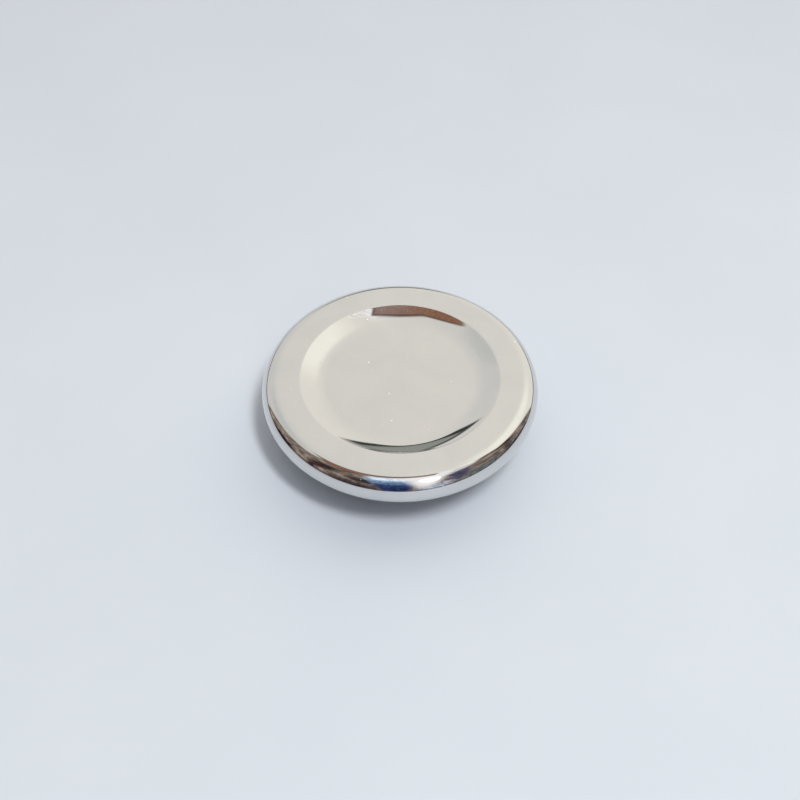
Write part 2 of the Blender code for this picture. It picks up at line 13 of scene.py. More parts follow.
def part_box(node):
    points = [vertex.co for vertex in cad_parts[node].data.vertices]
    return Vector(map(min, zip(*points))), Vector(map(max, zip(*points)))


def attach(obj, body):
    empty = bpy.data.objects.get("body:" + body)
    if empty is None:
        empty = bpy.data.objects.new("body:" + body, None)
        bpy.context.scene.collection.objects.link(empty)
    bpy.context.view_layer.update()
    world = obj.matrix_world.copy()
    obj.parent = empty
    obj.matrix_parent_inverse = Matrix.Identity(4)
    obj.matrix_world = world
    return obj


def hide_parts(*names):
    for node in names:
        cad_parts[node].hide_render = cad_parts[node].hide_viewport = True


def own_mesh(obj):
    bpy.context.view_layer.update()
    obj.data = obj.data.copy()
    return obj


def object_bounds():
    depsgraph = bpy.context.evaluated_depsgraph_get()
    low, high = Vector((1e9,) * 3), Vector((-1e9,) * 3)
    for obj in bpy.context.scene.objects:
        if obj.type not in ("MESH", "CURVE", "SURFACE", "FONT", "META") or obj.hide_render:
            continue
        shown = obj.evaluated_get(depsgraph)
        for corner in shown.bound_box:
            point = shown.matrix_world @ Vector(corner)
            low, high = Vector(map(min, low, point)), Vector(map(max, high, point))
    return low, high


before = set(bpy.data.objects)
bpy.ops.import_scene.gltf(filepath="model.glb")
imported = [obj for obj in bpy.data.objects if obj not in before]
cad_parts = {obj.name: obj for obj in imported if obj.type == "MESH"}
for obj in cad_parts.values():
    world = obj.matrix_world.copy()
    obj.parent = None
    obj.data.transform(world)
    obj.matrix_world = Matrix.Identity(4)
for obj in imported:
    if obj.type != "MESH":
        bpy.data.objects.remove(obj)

CAD_BOX = [list(corner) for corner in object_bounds()]

MM = 0.001
COVER_SEGMENTS = 288
FINE_SEGMENTS = 240
WALL_SEGMENTS = 192
PLAIN_SEGMENTS = 144
VALVE_SEGMENTS = 128
SMALL_SEGMENTS = 96
SHARP_ANGLE = math.radians(38)
WELD = 0.0005 * MM
CORNER_STEPS = 4
ROUND_END_SHARES = (0.25, 0.65, 0.9)

# Sheet and edge sizes that the boxes don't say
COVER_SHEET = 0.8 * MM
BEAD_RADIUS = 4.0 * MM
CURL_END = -125.0
COVER_ARC_STEPS = (16, 8)
DISH_RADII = (16.3 * MM, 19.15 * MM, 22.05 * MM, 22.6 * MM)
DISH_SLOPES = (21.2, 26.5)
DISH_FLOOR_RING = 0.6
PAN_SHEET = 0.7 * MM
PAN_WINDOW_RADIUS = 6.5 * MM
PAN_NEST_GAP = 0.15 * MM
PAN_NEST_ENDS = (-172.0, 10.0)
PAN_CUP_GAP = 0.1 * MM
CUP_SHEET = 0.9 * MM
CUP_SKIRT_STEP = 0.5 * MM
SKIRT_STEP_HEIGHTS = (2.4 * MM, 1.95 * MM)
GROOVE_DEPTH = 0.3 * MM
GROOVE_HALF_HEIGHTS = (0.68 * MM, 0.33 * MM)
PAN_CORNER_RADIUS = 24.1 * MM
BREATHER_CIRCLE = 21.5 * MM
BREATHER_HOLE = 0.8 * MM
BREATHER_COUNT = 8
RIVET_COUNT = 4
RIVET_HOLE = 0.95 * MM
RIVET_ANGLE = 45.0
RIVET_HOLE_ENDS = (10.0 * MM, 14.0 * MM)
CUP_VENT_CIRCLE = 4.0 * MM
CUP_VENT_HOLE = 1.1 * MM
LUG_HALF_SPAN = 18.0
LUG_FLAT_END = 9.0
LUG_TOP = 2.2 * MM
LUG_LEAD_DROP = 0.5 * MM
CAGE_BORE = 7.8 * MM
CAGE_WALL = 1.2 * MM
CAGE_FLANGE = 0.9 * MM
CAGE_PORT = 5.0 * MM
CAGE_GROOVES = (8.2 * MM, 7.0 * MM, 5.8 * MM)
CAGE_GROOVE = 0.2 * MM
SEAT_OUTER = 5.8 * MM
SEAT_HEIGHT = 1.2 * MM
SEAT_RISE = 0.3 * MM
DISC_VENT_CIRCLE = 2.1 * MM
DISC_VENT = 0.45 * MM
BAFFLE_HOLE_COUNT = 6
BAFFLE_HOLE_CIRCLE = 11.5 * MM
BAFFLE_HOLE = 2.4 * MM
BAFFLE_RIB = ((5.6 * MM, 0.0), (6.1 * MM, 0.3 * MM), (6.9 * MM, 0.3 * MM), (7.4 * MM, 0.0))
NECK_PRINT = (20.7 * MM, 20.8 * MM, 22.2 * MM, 22.3 * MM)
WAVE_COUNT = 4
RELIEF_SEAL_BORE = 3.2 * MM
VACUUM_SEAL_BORE = 0.75 * MM
SLIP_WASHER_BORE = 18.9 * MM
RELIEF_WIRE = 0.6 * MM
VACUUM_WIRE = 0.3 * MM
SNAP_RING_GAP = 15.0
EDGE = 0.12 * MM
THIN_EDGE = 0.08 * MM
FINE_EDGE = 0.05 * MM


# ---- frame readings

def reach(node):
    """Outer radius, base height and top height of a round CAD node."""
    low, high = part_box(node)
    return high.x, low.z, high.z


def middle_of(node):
    """The middle of a CAD node's box."""
    low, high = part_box(node)
    return (low + high) / 2


# ---- mesh tools

def tidied(shape):
    """The bmesh, welded and with its faces turned outwards."""
    bmesh.ops.remove_doubles(shape, verts=shape.verts, dist=WELD)
    bmesh.ops.recalc_face_normals(shape, faces=shape.faces)
    return shape


def mesh_of(name, shape):
    """A mesh of a bmesh, which is freed."""
    mesh = bpy.data.meshes.new(name)
    shape.to_mesh(mesh)
    shape.free()
    return mesh


def linked(name, data):
    """A new object in the scene."""
    made = bpy.data.objects.new(name, data)
    bpy.context.scene.collection.objects.link(made)
    return made


def helper(name, shape):
    """An unshaded mesh object of a bmesh."""
    return linked(name, mesh_of(name, shape))


def dressed(piece, body, node, slot):
    """Shades a mesh object, ties it to its body, gives it its finish and hides the CAD node it stands in
    for.
    """
    piece.data.shade_smooth()
    piece.data.set_sharp_from_angle(angle=SHARP_ANGLE)
    piece.data.materials.clear()
    piece.data.materials.append(MATERIALS[slot])
    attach(piece, body)
    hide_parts(node)
    return piece


def finished(name, shape, body, node, slot):
    """A piece made of a bmesh."""
    return dressed(helper(name, tidied(shape)), body, node, slot)


def combined(base, others, operation):
    """The mesh of base after a Boolean with each of the others, all of which are removed."""
    for other in others:
        boolean = base.modifiers.new(other.name, "BOOLEAN")
        boolean.operation = operation
        boolean.object = other
        boolean.solver = "EXACT"
    mesh = bpy.data.meshes.new_from_object(base.evaluated_get(bpy.context.evaluated_depsgraph_get()))
    base.modifiers.clear()
    base.data = mesh
    for other in others:
        bpy.data.objects.remove(other, do_unlink=True)
    return base


def drilled(name, piece, cutters, body, node, slot):
    """A piece made of a helper object less its cutters."""
    combined(piece, cutters, "DIFFERENCE")
    piece.name = name
    piece.data.name = name
    return dressed(piece, body, node, slot)


def polar(radius, degrees):
    """The point at a radius and an angle."""
    turn = math.radians(degrees)
    return radius * math.cos(turn), radius * math.sin(turn)


def arc(centre, radius, start, end, steps):
    """Points along an arc of a profile. Angles are in degrees, 0 outwards and 90 up."""
    points = []
    for step in range(steps + 1):
        across, up = polar(radius, start + (end - start) * step / steps)
        points.append((centre[0] + across, centre[1] + up))
    return points


def rounded(outline, radius, steps=CORNER_STEPS):
    """The outline with every corner off the axis eased into a short curve."""
    shortest = 1e-9
    most_of_side = 0.45
    near_reversal = 3.0
    least_cut = 0.002 * MM
    eased = []
    for index, corner in enumerate(outline):
        here = Vector(corner)
        before = Vector(outline[index - 1])
        after = Vector(outline[(index + 1) % len(outline)])
        sides = ((here - before).length, (after - here).length)
        if here.x < FINE_EDGE or min(sides) < shortest:
            eased.append(tuple(corner))
            continue
        into = (here - before).normalized()
        out = (after - here).normalized()
        bend = into.angle(out)
        cut = radius * math.tan(bend / 2) if bend < near_reversal else radius
        cut = min(cut, most_of_side * sides[0], most_of_side * sides[1])
        start = here - into * cut
        end = here + out * cut
        if cut < least_cut:
            eased.append(tuple(corner))
            continue
        for step in range(steps + 1):
            share = step / steps
            point = start * (1 - share) ** 2 + here * 2 * share * (1 - share) + end * share ** 2
            eased.append(tuple(point))
    return eased


def ring_outline(inner, outer, base, top, ease):
    """The profile of a flat ring with eased edges."""
    return rounded([(inner, base), (outer, base), (outer, top), (inner, top)], ease)


def spun(profile, segments):
    """A bmesh of a profile spun round Z: a closed outline, or one whose two ends lie on the axis."""
    shape = bmesh.new()
    corners = [shape.verts.new((radius, 0.0, height)) for radius, height in profile]
    pairs = list(zip(corners, corners[1:]))
    if profile[0][0] > 0.0:
        pairs.append((corners[-1], corners[0]))
    outline = [shape.edges.new(pair) for pair in pairs]
    bmesh.ops.spin(
        shape, geom=corners + outline, axis=(0.0, 0.0, 1.0), cent=(0.0, 0.0, 0.0),
        steps=segments, angle=math.radians(360.0), use_merge=True,
    )
    return tidied(shape)


def peg_line(radius, low, high, ease):
    """The profile of a round cutter that leaves eased edges on the faces at two heights."""
    past = 1.5 * MM
    wide = radius + ease
    line = [(0.0, low - past), (wide, low - past)]
    line += arc((wide, low + ease), ease, -90, -180, 4)
    line += arc((wide, high - ease), ease, 180, 90, 4)
    return line + [(wide, high + past), (0.0, high + past)]


def pegs(count, circle, radius, low, high, first_angle=0.0, ease=0.15 * MM, sides=40):
    """A ring of upright round cutters for a plate between two heights."""
    ring = bmesh.new()
    for index in range(count):
        peg = spun(peg_line(radius, low, high, ease), sides)
        place = polar(circle, first_angle + 360.0 * index / count)
        bmesh.ops.translate(peg, verts=peg.verts, vec=(*place, 0.0))
        ring.from_mesh(mesh_of("peg", peg))
    return helper("pegs", ring)


def coil(radius, wire, base, height):
    """The mesh of a compression spring of round wire: one close turn at each end, ground flat."""
    middle_turns = 3
    steps_per_turn = 48
    grind = 0.3 * wire
    end_rise = 1.05 * wire
    middle_rise = height - wire + 2 * grind - 2 * end_rise
    turns = 2 + middle_turns
    steps = turns * steps_per_turn
    path = []
    for step in range(steps + 1):
        turn = turns * step / steps
        low_rise = end_rise * min(turn, 1.0)
        open_rise = middle_rise * min(max((turn - 1) / middle_turns, 0.0), 1.0)
        high_rise = end_rise * max(turn - 1 - middle_turns, 0.0)
        angle = 2 * math.pi * turn
        rise = base + wire / 2 - grind + low_rise + open_rise + high_rise
        path.append((radius * math.cos(angle), radius * math.sin(angle), rise))
    mesh = wire_mesh([path], wire)
    for corner in mesh.vertices:
        corner.co.z = min(max(corner.co.z, base), base + height)
    return mesh


def wire_mesh(paths, wire, resolution=4, round_ends=False):
    """The mesh of round wire laid along each path of points."""
    curve = bpy.data.curves.new("wire", "CURVE")
    curve.dimensions = "3D"
    curve.bevel_depth = wire / 2
    curve.bevel_resolution = resolution
    curve.use_fill_caps = True
    for path in paths:
        line = curve.splines.new("POLY")
        line.points.add(len(path) - 1)
        for point, place in zip(line.points, path):
            point.co = (*place, 1.0)
        if round_ends:
            for index, share in enumerate(ROUND_END_SHARES):
                line.points[index].radius = share
                line.points[-1 - index].radius = share
    made = linked("wire", curve)
    mesh = bpy.data.meshes.new_from_object(made.evaluated_get(bpy.context.evaluated_depsgraph_get()))
    bpy.data.objects.remove(made, do_unlink=True)
    return mesh


def open_ring(radius, height, wire, gap):
    """The mesh of a snap ring of round wire, open at a gap centred on +X, with rounded ends."""
    tip = math.degrees(wire / 2 / radius)
    first = gap / 2
    last = 360.0 - gap / 2
    steps = 240
    angles = [first, first + 0.15 * tip, first + 0.5 * tip]
    angles += [first + tip + (last - first - 2 * tip) * step / steps for step in range(steps + 1)]
    angles += [last - 0.5 * tip, last - 0.15 * tip, last]
    path = [(*polar(radius, angle), height) for angle in angles]
    return wire_mesh([path], wire, 5, round_ends=True)


# ---- shader tools

class Graph:
    """Short calls for building the node tree of a material or a world."""

    def __init__(self, owner):
        owner.use_nodes = True
        self.owner = owner
        self.tree = owner.node_tree

    def add(self, kind, inputs=None, **settings):
        node = self.tree.nodes.new(kind)
        for key, value in settings.items():
            setattr(node, key, value)
        for socket, value in (inputs or {}).items():
            if isinstance(value, bpy.types.NodeSocket):
                self.tree.links.new(value, node.inputs[socket])
            else:
                node.inputs[socket].default_value = value
        return node

    def math(self, operation, first, second=0.0, third=0.0):
        inputs = {0: first, 1: second, 2: third}
        return self.add("ShaderNodeMath", inputs, operation=operation).outputs[0]

    def vector(self, operation, first, second):
        """A vector sum or difference, or a vector scaled by a number."""
        socket = "Scale" if operation == "SCALE" else 1
        node = self.add("ShaderNodeVectorMath", {0: first, socket: second}, operation=operation)
        return node.outputs[0]

    def smooth(self, value, low, high, start=0.0, end=1.0):
        """Start below low, end above high, and a smooth step between."""
        inputs = {"Value": value, "From Min": low, "From Max": high, "To Min": start, "To Max": end}
        return self.add("ShaderNodeMapRange", inputs, interpolation_type="SMOOTHSTEP").outputs[0]

    def mix(self, factor, first, second):
        node = self.add("ShaderNodeMix", {"Factor": factor}, data_type="RGBA")
        for socket, value in ((node.inputs[6], first), (node.inputs[7], second)):
            if isinstance(value, bpy.types.NodeSocket):
                self.tree.links.new(value, socket)
            else:
                socket.default_value = (*value, 1.0)
        return node.outputs[2]

    def ramp(self, factor, stops):
        node = self.add("ShaderNodeValToRGB", {"Fac": factor})
        ends = node.color_ramp.elements
        while len(ends) < len(stops):
            ends.new(0.5)
        for element, (place, colour) in zip(ends, stops):
            element.position = place
            element.color = (*colour, 1.0)
        return node.outputs["Color"]

    def noise(self, vector, scale, detail=2.0, rough=0.5, distortion=0.0):
        inputs = {"Vector": vector, "Scale": scale, "Detail": detail, "Roughness": rough}
        inputs["Distortion"] = distortion
        return self.add("ShaderNodeTexNoise", inputs).outputs[0]

    def bump(self, height, distance, below=None):
        inputs = {"Height": height, "Distance": distance, "Strength": 1.0}
        if below is not None:
            inputs["Normal"] = below
        return self.add("ShaderNodeBump", inputs).outputs[0]

    def millimetres(self):
        """Object coordinates in millimetres."""
        return self.vector("SCALE", self.add("ShaderNodeTexCoord").outputs["Object"], 1.0 / MM)

    def round_lines(self, place):
        """Coordinates that vary quickly across a turned piece's circles and slowly along them."""
        along = 0.02
        split = self.add("ShaderNodeSeparateXYZ", {0: place}).outputs
        squares = self.math("MULTIPLY_ADD", split[0], split[0], self.math("MULTIPLY", split[1], split[1]))
        radius = self.math("SQRT", squares)
        inputs = {
            0: self.math("ADD", radius, self.math("MULTIPLY", split[0], along)),
            1: split[2],
            2: self.math("MULTIPLY", split[1], along),
        }
        return self.add("ShaderNodeCombineXYZ", inputs).outputs[0]


def new_material(name, metallic, roughness, colour):
    """The graph and millimetre coordinates of a Principled material."""
    graph = Graph(bpy.data.materials.new(name))
    inputs = graph.tree.nodes["Principled BSDF"].inputs
    inputs["Metallic"].default_value = metallic
    inputs["Roughness"].default_value = roughness
    inputs["Base Color"].default_value = (*colour, 1.0)
    return graph, graph.millimetres()


def plugged(graph, **sockets):
    """A graph's material, with values plugged into its shader."""
    inputs = graph.tree.nodes["Principled BSDF"].inputs
    for name, value in sockets.items():
        graph.tree.links.new(value, inputs[name.replace("_", " ")])
    return graph.owner


def dust_mask(graph, place, scale, size, share):
    """White specks: one in a share of the cells of a scattered pattern, of uneven size."""
    cells = graph.add("ShaderNodeTexVoronoi", {"Vector": place, "Scale": scale}).outputs
    pick = graph.add("ShaderNodeSeparateColor", {0: cells["Color"]}).outputs
    chosen = graph.math("LESS_THAN", pick[0], share)
    width = graph.math("MULTIPLY_ADD", pick[1], size, 0.35 * size)
    near = graph.math("LESS_THAN", cells["Distance"], width)
    return graph.math("MULTIPLY", chosen, near)


# ---- materials

def chrome_material():
    """Polished chrome plate: faint waves of the sheet, hairlines, smears and specks of dust."""
    colour = (0.72, 0.725, 0.73)
    graph, place = new_material("polished_chrome", 1.0, 0.04, colour)
    smears = graph.noise(place, 0.09, 5.0, 0.62, 0.6)
    haze = graph.noise(place, 1.7, 3.0, 0.6)
    rough = graph.smooth(smears, 0.42, 0.75, 0.022, 0.075)
    rough = graph.math("MULTIPLY_ADD", haze, 0.02, rough)
    specks = dust_mask(graph, place, 0.36, 0.06, 0.5)
    fine_specks = dust_mask(graph, place, 1.1, 0.07, 0.2)
    dust = graph.math("MAXIMUM", specks, fine_specks)
    rough = graph.math("MULTIPLY_ADD", dust, 0.75, rough)
    metal = graph.math("SUBTRACT", 1.0, graph.math("MULTIPLY", dust, 0.85))
    tint = graph.ramp(smears, ((0.3, (0.70, 0.705, 0.71)), (0.7, (0.745, 0.745, 0.74))))
    tint = graph.mix(dust, tint, (0.97, 0.96, 0.90))
    stretch = {"Vector": place, "Scale": (9.0, 0.25, 1.0), "Rotation": (0.0, 0.0, math.radians(24))}
    hairlines = graph.noise(graph.add("ShaderNodeMapping", stretch).outputs[0], 1.0, 2.0, 0.7)
    waves = graph.noise(place, 0.11, 1.0, 0.4)
    normal = graph.bump(waves, 0.02 * MM)
    normal = graph.bump(hairlines, 0.0006 * MM, normal)
    normal = graph.bump(dust, 0.03 * MM, normal)
    return plugged(graph, Base_Color=tint, Roughness=rough, Metallic=metal, Normal=normal)


ZINC_TINTS = ((0.3, (0.50, 0.53, 0.58)), (0.52, (0.62, 0.63, 0.63)), (0.72, (0.68, 0.66, 0.58)))


def zinc_material():
    """Zinc plate on pressed steel: soft mottling, faint straw and blue tints, fine pits."""
    graph, place = new_material("zinc_plate", 1.0, 0.36, (0.62, 0.63, 0.64))
    mottle = graph.noise(place, 0.35, 4.0, 0.6, 0.4)
    grain = graph.noise(place, 6.0, 3.0, 0.6)
    tint = graph.ramp(mottle, ZINC_TINTS)
    rough = graph.smooth(mottle, 0.3, 0.7, 0.26, 0.46)
    rough = graph.math("MULTIPLY_ADD", grain, 0.12, rough)
    normal = graph.bump(grain, 0.004 * MM)
    return plugged(graph, Base_Color=tint, Roughness=rough, Normal=normal)


def drawn_material(name, dark, light, low_rough, high_rough, line_scale=7.0):
    """Metal with the circular lines that drawing or turning leaves."""
    graph, place = new_material(name, 1.0, low_rough, light)
    lines = graph.noise(graph.round_lines(place), line_scale, 3.0, 0.7)
    cloud = graph.noise(place, 0.4, 3.0, 0.6, 0.3)
    pits = graph.noise(place, 9.0, 2.0, 0.5)
    shade = graph.math("MULTIPLY_ADD", lines, 0.5, graph.math("MULTIPLY", cloud, 0.5))
    tint = graph.ramp(shade, ((0.3, dark), (0.7, light)))
    rough = graph.smooth(shade, 0.3, 0.7, high_rough, low_rough)
    normal = graph.bump(lines, 0.003 * MM)
    normal = graph.bump(pits, 0.001 * MM, normal)
    return plugged(graph, Base_Color=tint, Roughness=rough, Normal=normal)


def rubber_material():
    """Moulded nitrile rubber: fine grain and a grey bloom."""
    graph, place = new_material("seal_rubber", 0.0, 0.7, (0.03, 0.03, 0.03))
    bloom = graph.noise(place, 0.6, 5.0, 0.65, 0.5)
    grain = graph.noise(place, 14.0, 2.0, 0.6)
    tint = graph.ramp(bloom, ((0.35, (0.018, 0.018, 0.019)), (0.75, (0.06, 0.06, 0.058))))
    rough = graph.smooth(bloom, 0.3, 0.8, 0.55, 0.85)
    normal = graph.bump(grain, 0.006 * MM)
    return plugged(graph, Base_Color=tint, Roughness=rough, Normal=normal)


def felt_material():
    """Pressed grey felt: tangled fibres."""
    graph, place = new_material("vent_felt", 0.0, 0.95, (0.5, 0.48, 0.44))
    fibres = graph.noise(place, 5.0, 6.0, 0.7, 2.5)
    clumps = graph.noise(place, 0.8, 3.0, 0.6)
    shade = graph.math("MULTIPLY_ADD", fibres, 0.6, graph.math("MULTIPLY", clumps, 0.4))
    tint = graph.ramp(shade, ((0.32, (0.30, 0.29, 0.27)), (0.68, (0.62, 0.60, 0.55))))
    normal = graph.bump(fibres, 0.08 * MM)
    return plugged(graph, Base_Color=tint, Normal=normal)


def floor_material():
    """The plain pale floor, with the faintest cloudiness."""
    graph, place = new_material("studio_floor", 0.0, 0.5, (0.66, 0.72, 0.80))
    grain = graph.noise(place, 0.02, 2.0, 0.5)
    tint = graph.ramp(grain, ((0.3, (0.62, 0.68, 0.76)), (0.7, (0.64, 0.70, 0.78))))
    return plugged(graph, Base_Color=tint)


# Each slot's material. Drawn metals: name, dark and light tint, least and most roughness, line scale
MATERIALS = {
    "cover_chrome": chrome_material(),
    "zinc_plate": zinc_material(),
    "stainless_cup": drawn_material("drawn_stainless", (0.42, 0.41, 0.40), (0.62, 0.61, 0.59), 0.20, 0.36),
    "rivet_steel": drawn_material("rivet_steel", (0.40, 0.40, 0.40), (0.60, 0.59, 0.58), 0.28, 0.45, 4.0),
    "valve_brass": drawn_material("turned_brass", (0.50, 0.34, 0.14), (0.78, 0.60, 0.30), 0.22, 0.40, 9.0),
    "spring_steel": drawn_material("spring_steel", (0.16, 0.16, 0.17), (0.34, 0.34, 0.35), 0.24, 0.42, 5.0),
    "screen_gauze": drawn_material("gauze_steel", (0.36, 0.36, 0.36), (0.62, 0.62, 0.61), 0.25, 0.42, 5.0),
    "seal_rubber": rubber_material(),
    "vent_felt": felt_material(),
}


# ---- cover, pan and cup

def dish_line(top, depth, steps):
    """The dish at a depth below its outer face: floor, fillet, slowly steepening wall and tight lip."""
    floor_edge, foot, head, lip = DISH_RADII
    low, high = (math.radians(slope) for slope in DISH_SLOPES)
    floor_fillet = (foot - floor_edge) / math.sin(low)
    wall = (head - foot) / (math.sin(high) - math.sin(low))
    lip_fillet = (lip - head) / math.sin(high)
    head_height = top - lip_fillet * (1 - math.cos(high))
    foot_height = head_height - wall * (math.cos(low) - math.cos(high))
    floor = foot_height - floor_fillet * (1 - math.cos(low))
    wall_centre = (foot - wall * math.sin(low), foot_height + wall * math.cos(low))
    line = [(0.0, floor - depth), (DISH_FLOOR_RING * floor_edge, floor - depth)]
    line += arc((floor_edge, floor + floor_fillet), floor_fillet + depth, -90, DISH_SLOPES[0] - 90, steps)
    line += arc(wall_centre, wall + depth, DISH_SLOPES[0] - 90, DISH_SLOPES[1] - 90, steps)[1:]
    line += arc((lip, top - lip_fillet), lip_fillet - depth, 90 + DISH_SLOPES[1], 90, steps)[1:]
    return line


def cover_line(depth, steps):
    """The cover's line at a depth below its outer face, from the middle of the dish to the curl's end."""
    radius, _, top = reach("cover_shell")
    bead = arc((radius - BEAD_RADIUS, top - BEAD_RADIUS), BEAD_RADIUS - depth, 90, CURL_END, 3 * steps)
    return dish_line(top, depth, steps) + bead


def sheet_end(outer, inner):
    """A half-round edge between the last points of a sheet's two faces."""
    middle = ((outer[0] + inner[0]) / 2, (outer[1] + inner[1]) / 2)
    half = math.dist(outer, inner) / 2
    start = math.degrees(math.atan2(outer[1] - middle[1], outer[0] - middle[0]))
    return arc(middle, half, start, start - 180, 6)[1:-1]


def cover_piece():
    """The pressed cover: a shallow dish, a flat shoulder and a rolled bead curled under."""
    outer = cover_line(0.0, COVER_ARC_STEPS[0])
    inner = cover_line(COVER_SHEET, COVER_ARC_STEPS[1])
    shape = spun(outer + sheet_end(outer[-1], inner[-1]) + inner[::-1], COVER_SEGMENTS)
    return finished("cover_dished", shape, "cover", "cover_shell", "cover_chrome")


def rivet_pegs():
    """Cutters for the four rivets through the pan, the cup's top and the cage's flange."""
    centre = middle_of("cup_rivet_1")
    circle = math.hypot(centre.x, centre.y)
    return pegs(RIVET_COUNT, circle, RIVET_HOLE, *RIVET_HOLE_ENDS, RIVET_ANGLE)


def pan_piece():
    """The pan nested in the cover's bead, with a window and breather holes."""
    radius, _, top = reach("cover_shell")
    bottom = reach("lug_cup")[2] + PAN_CUP_GAP
    face = bottom + PAN_SHEET
    bead_centre = (radius - BEAD_RADIUS, top - BEAD_RADIUS)
    nest = BEAD_RADIUS - COVER_SHEET - PAN_NEST_GAP
    nest_start = -180.0 + math.degrees(math.asin((bead_centre[1] - bottom) / nest))
    upper = [(PAN_WINDOW_RADIUS, face), (PAN_CORNER_RADIUS, face)]
    steps = 32
    upper += arc(bead_centre, nest - PAN_SHEET, *PAN_NEST_ENDS, steps)
    lower = [(PAN_WINDOW_RADIUS, bottom)] + arc(bead_centre, nest, nest_start, PAN_NEST_ENDS[1], steps)
    profile = rounded(upper[:2], EDGE) + upper[2:] + sheet_end(upper[-1], lower[-1]) + lower[::-1]
    pan = helper("pan", spun(profile, WALL_SEGMENTS))
    half_step = 180.0 / BREATHER_COUNT
    breathers = pegs(BREATHER_COUNT, BREATHER_CIRCLE, BREATHER_HOLE, bottom, face, half_step)
    return drilled("pan_pressed", pan, [rivet_pegs(), breathers], "cover", "backing_pan", "zinc_plate")


def lug_shape(first_angle):
    """One bayonet lug with eased edges and rounded ends, dipped at one end as a lead-in."""
    outer = reach("lug_cup")[0]
    sunk = 0.1 * MM
    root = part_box("lug_cup")[1].y - CUP_SKIRT_STEP - sunk
    thickness = 1.0 * MM
    end_radius = 0.9 * MM
    end_trim = 0.05 * MM
    edge = 0.25 * MM
    steps = 48
    shape = bmesh.new()
    rows = []
    for step in range(steps + 1):
        turn = -LUG_HALF_SPAN + 2 * LUG_HALF_SPAN * step / steps
        lead = max(turn - LUG_FLAT_END, 0.0) / (LUG_HALF_SPAN - LUG_FLAT_END)
        top = LUG_TOP - LUG_LEAD_DROP * lead * lead * (3 - 2 * lead)
        from_end = math.radians(LUG_HALF_SPAN - abs(turn)) * outer
        short = max(end_radius - from_end, 0.0)
        tip = outer - end_radius + math.sqrt(max(end_radius ** 2 - short ** 2, 0.0))
        tip -= end_trim if short > 0.98 * end_radius else 0.0
        corners = [(root, top - thickness), (tip, top - thickness), (tip, top), (root, top)]
        row = []
        for radius, height in rounded(corners, edge, 3):
            row.append(shape.verts.new((*polar(radius, first_angle + turn), height)))
        rows.append(row)
    shape.faces.new(rows[0])
    shape.faces.new(rows[-1])
    for before, after in zip(rows, rows[1:]):
        for corner in range(len(before)):
            following = (corner + 1) % len(before)
            shape.faces.new((before[corner], before[following], after[following], after[corner]))
    bmesh.ops.recalc_face_normals(shape, faces=shape.faces)
    return helper("lug", shape)


def cup_line(wall):
    """One face of the cup's wall, from above the rolled groove down to the skirt."""
    middle = middle_of("seal_snap_ring").z
    mouth, floor = GROOVE_HALF_HEIGHTS
    line = [(wall, middle + mouth), (wall - GROOVE_DEPTH, middle + floor)]
    line += [(wall - GROOVE_DEPTH, middle - floor), (wall, middle - mouth)]
    line += [(wall, SKIRT_STEP_HEIGHTS[0]), (wall + CUP_SKIRT_STEP, SKIRT_STEP_HEIGHTS[1])]
    return line


def cup_piece():
    """The drawn cup that enters the filler neck: rolled groove, stepped skirt, inturned lip, two lugs."""
    top = reach("lug_cup")[2]
    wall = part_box("lug_cup")[1].y - CUP_SKIRT_STEP
    inside = wall - CUP_SHEET
    skirt = wall + CUP_SKIRT_STEP
    ceiling = top - CUP_SHEET
    corner = 1.0 * MM
    inner_corner = 0.3 * MM
    bevel = 0.35 * MM
    lip = inside + 0.05 * MM
    lip_heights = (0.25 * MM, 0.45 * MM)
    profile = [(0.0, top)] + arc((wall - corner, top - corner), corner, 90, 0, 10)
    walls = cup_line(wall)
    walls += [(skirt, bevel), (skirt - bevel, 0.0), (lip, 0.0)]
    walls += [(lip, lip_heights[0]), (inside + CUP_SKIRT_STEP, lip_heights[1])]
    walls += cup_line(inside)[::-1]
    walls += [(inside, ceiling - inner_corner), (inside - inner_corner, ceiling)]
    profile += rounded([profile[-1]] + walls + [(0.0, ceiling)], bevel)[CORNER_STEPS + 1:]
    cup = helper("cup", spun(profile, WALL_SEGMENTS))
    combined(cup, [lug_shape(0.0), lug_shape(180.0)], "UNION")
    vents = pegs(4, CUP_VENT_CIRCLE, CUP_VENT_HOLE, ceiling, top)
    return drilled("cup_drawn", cup, [rivet_pegs(), vents], "cover", "lug_cup", "stainless_cup")


def rivet_piece(number):
    """A rivet: a domed head above the pan and a flatter formed head below the cage's flange."""
    node = f"cup_rivet_{number}"
    low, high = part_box(node)
    centre = middle_of(node)
    head = (high.x - low.x) / 2
    rise = 0.65 * MM
    shank = 0.8 * MM
    dome = 0.8
    flatter_dome = 0.55
    segments = 48
    top = high.z - rise
    foot = low.z + rise
    turns = [math.pi / 2 * step / 10 for step in range(11)]
    profile = [(head * math.cos(turn), top + rise * math.sin(turn) ** dome) for turn in turns][::-1]
    profile += [(head, top), (shank, top), (shank, foot), (head, foot)]
    profile += [(head * math.cos(turn), foot - rise * math.sin(turn) ** flatter_dome) for turn in turns]
    shape = spun([(0.0, high.z)] + profile[1:-1] + [(0.0, low.z)], segments)
    bmesh.ops.translate(shape, verts=shape.verts, vec=(centre.x, centre.y, 0.0))
    return finished(f"rivet_domed_{number}", shape, "cover", node, "rivet_steel")


# ---- valves

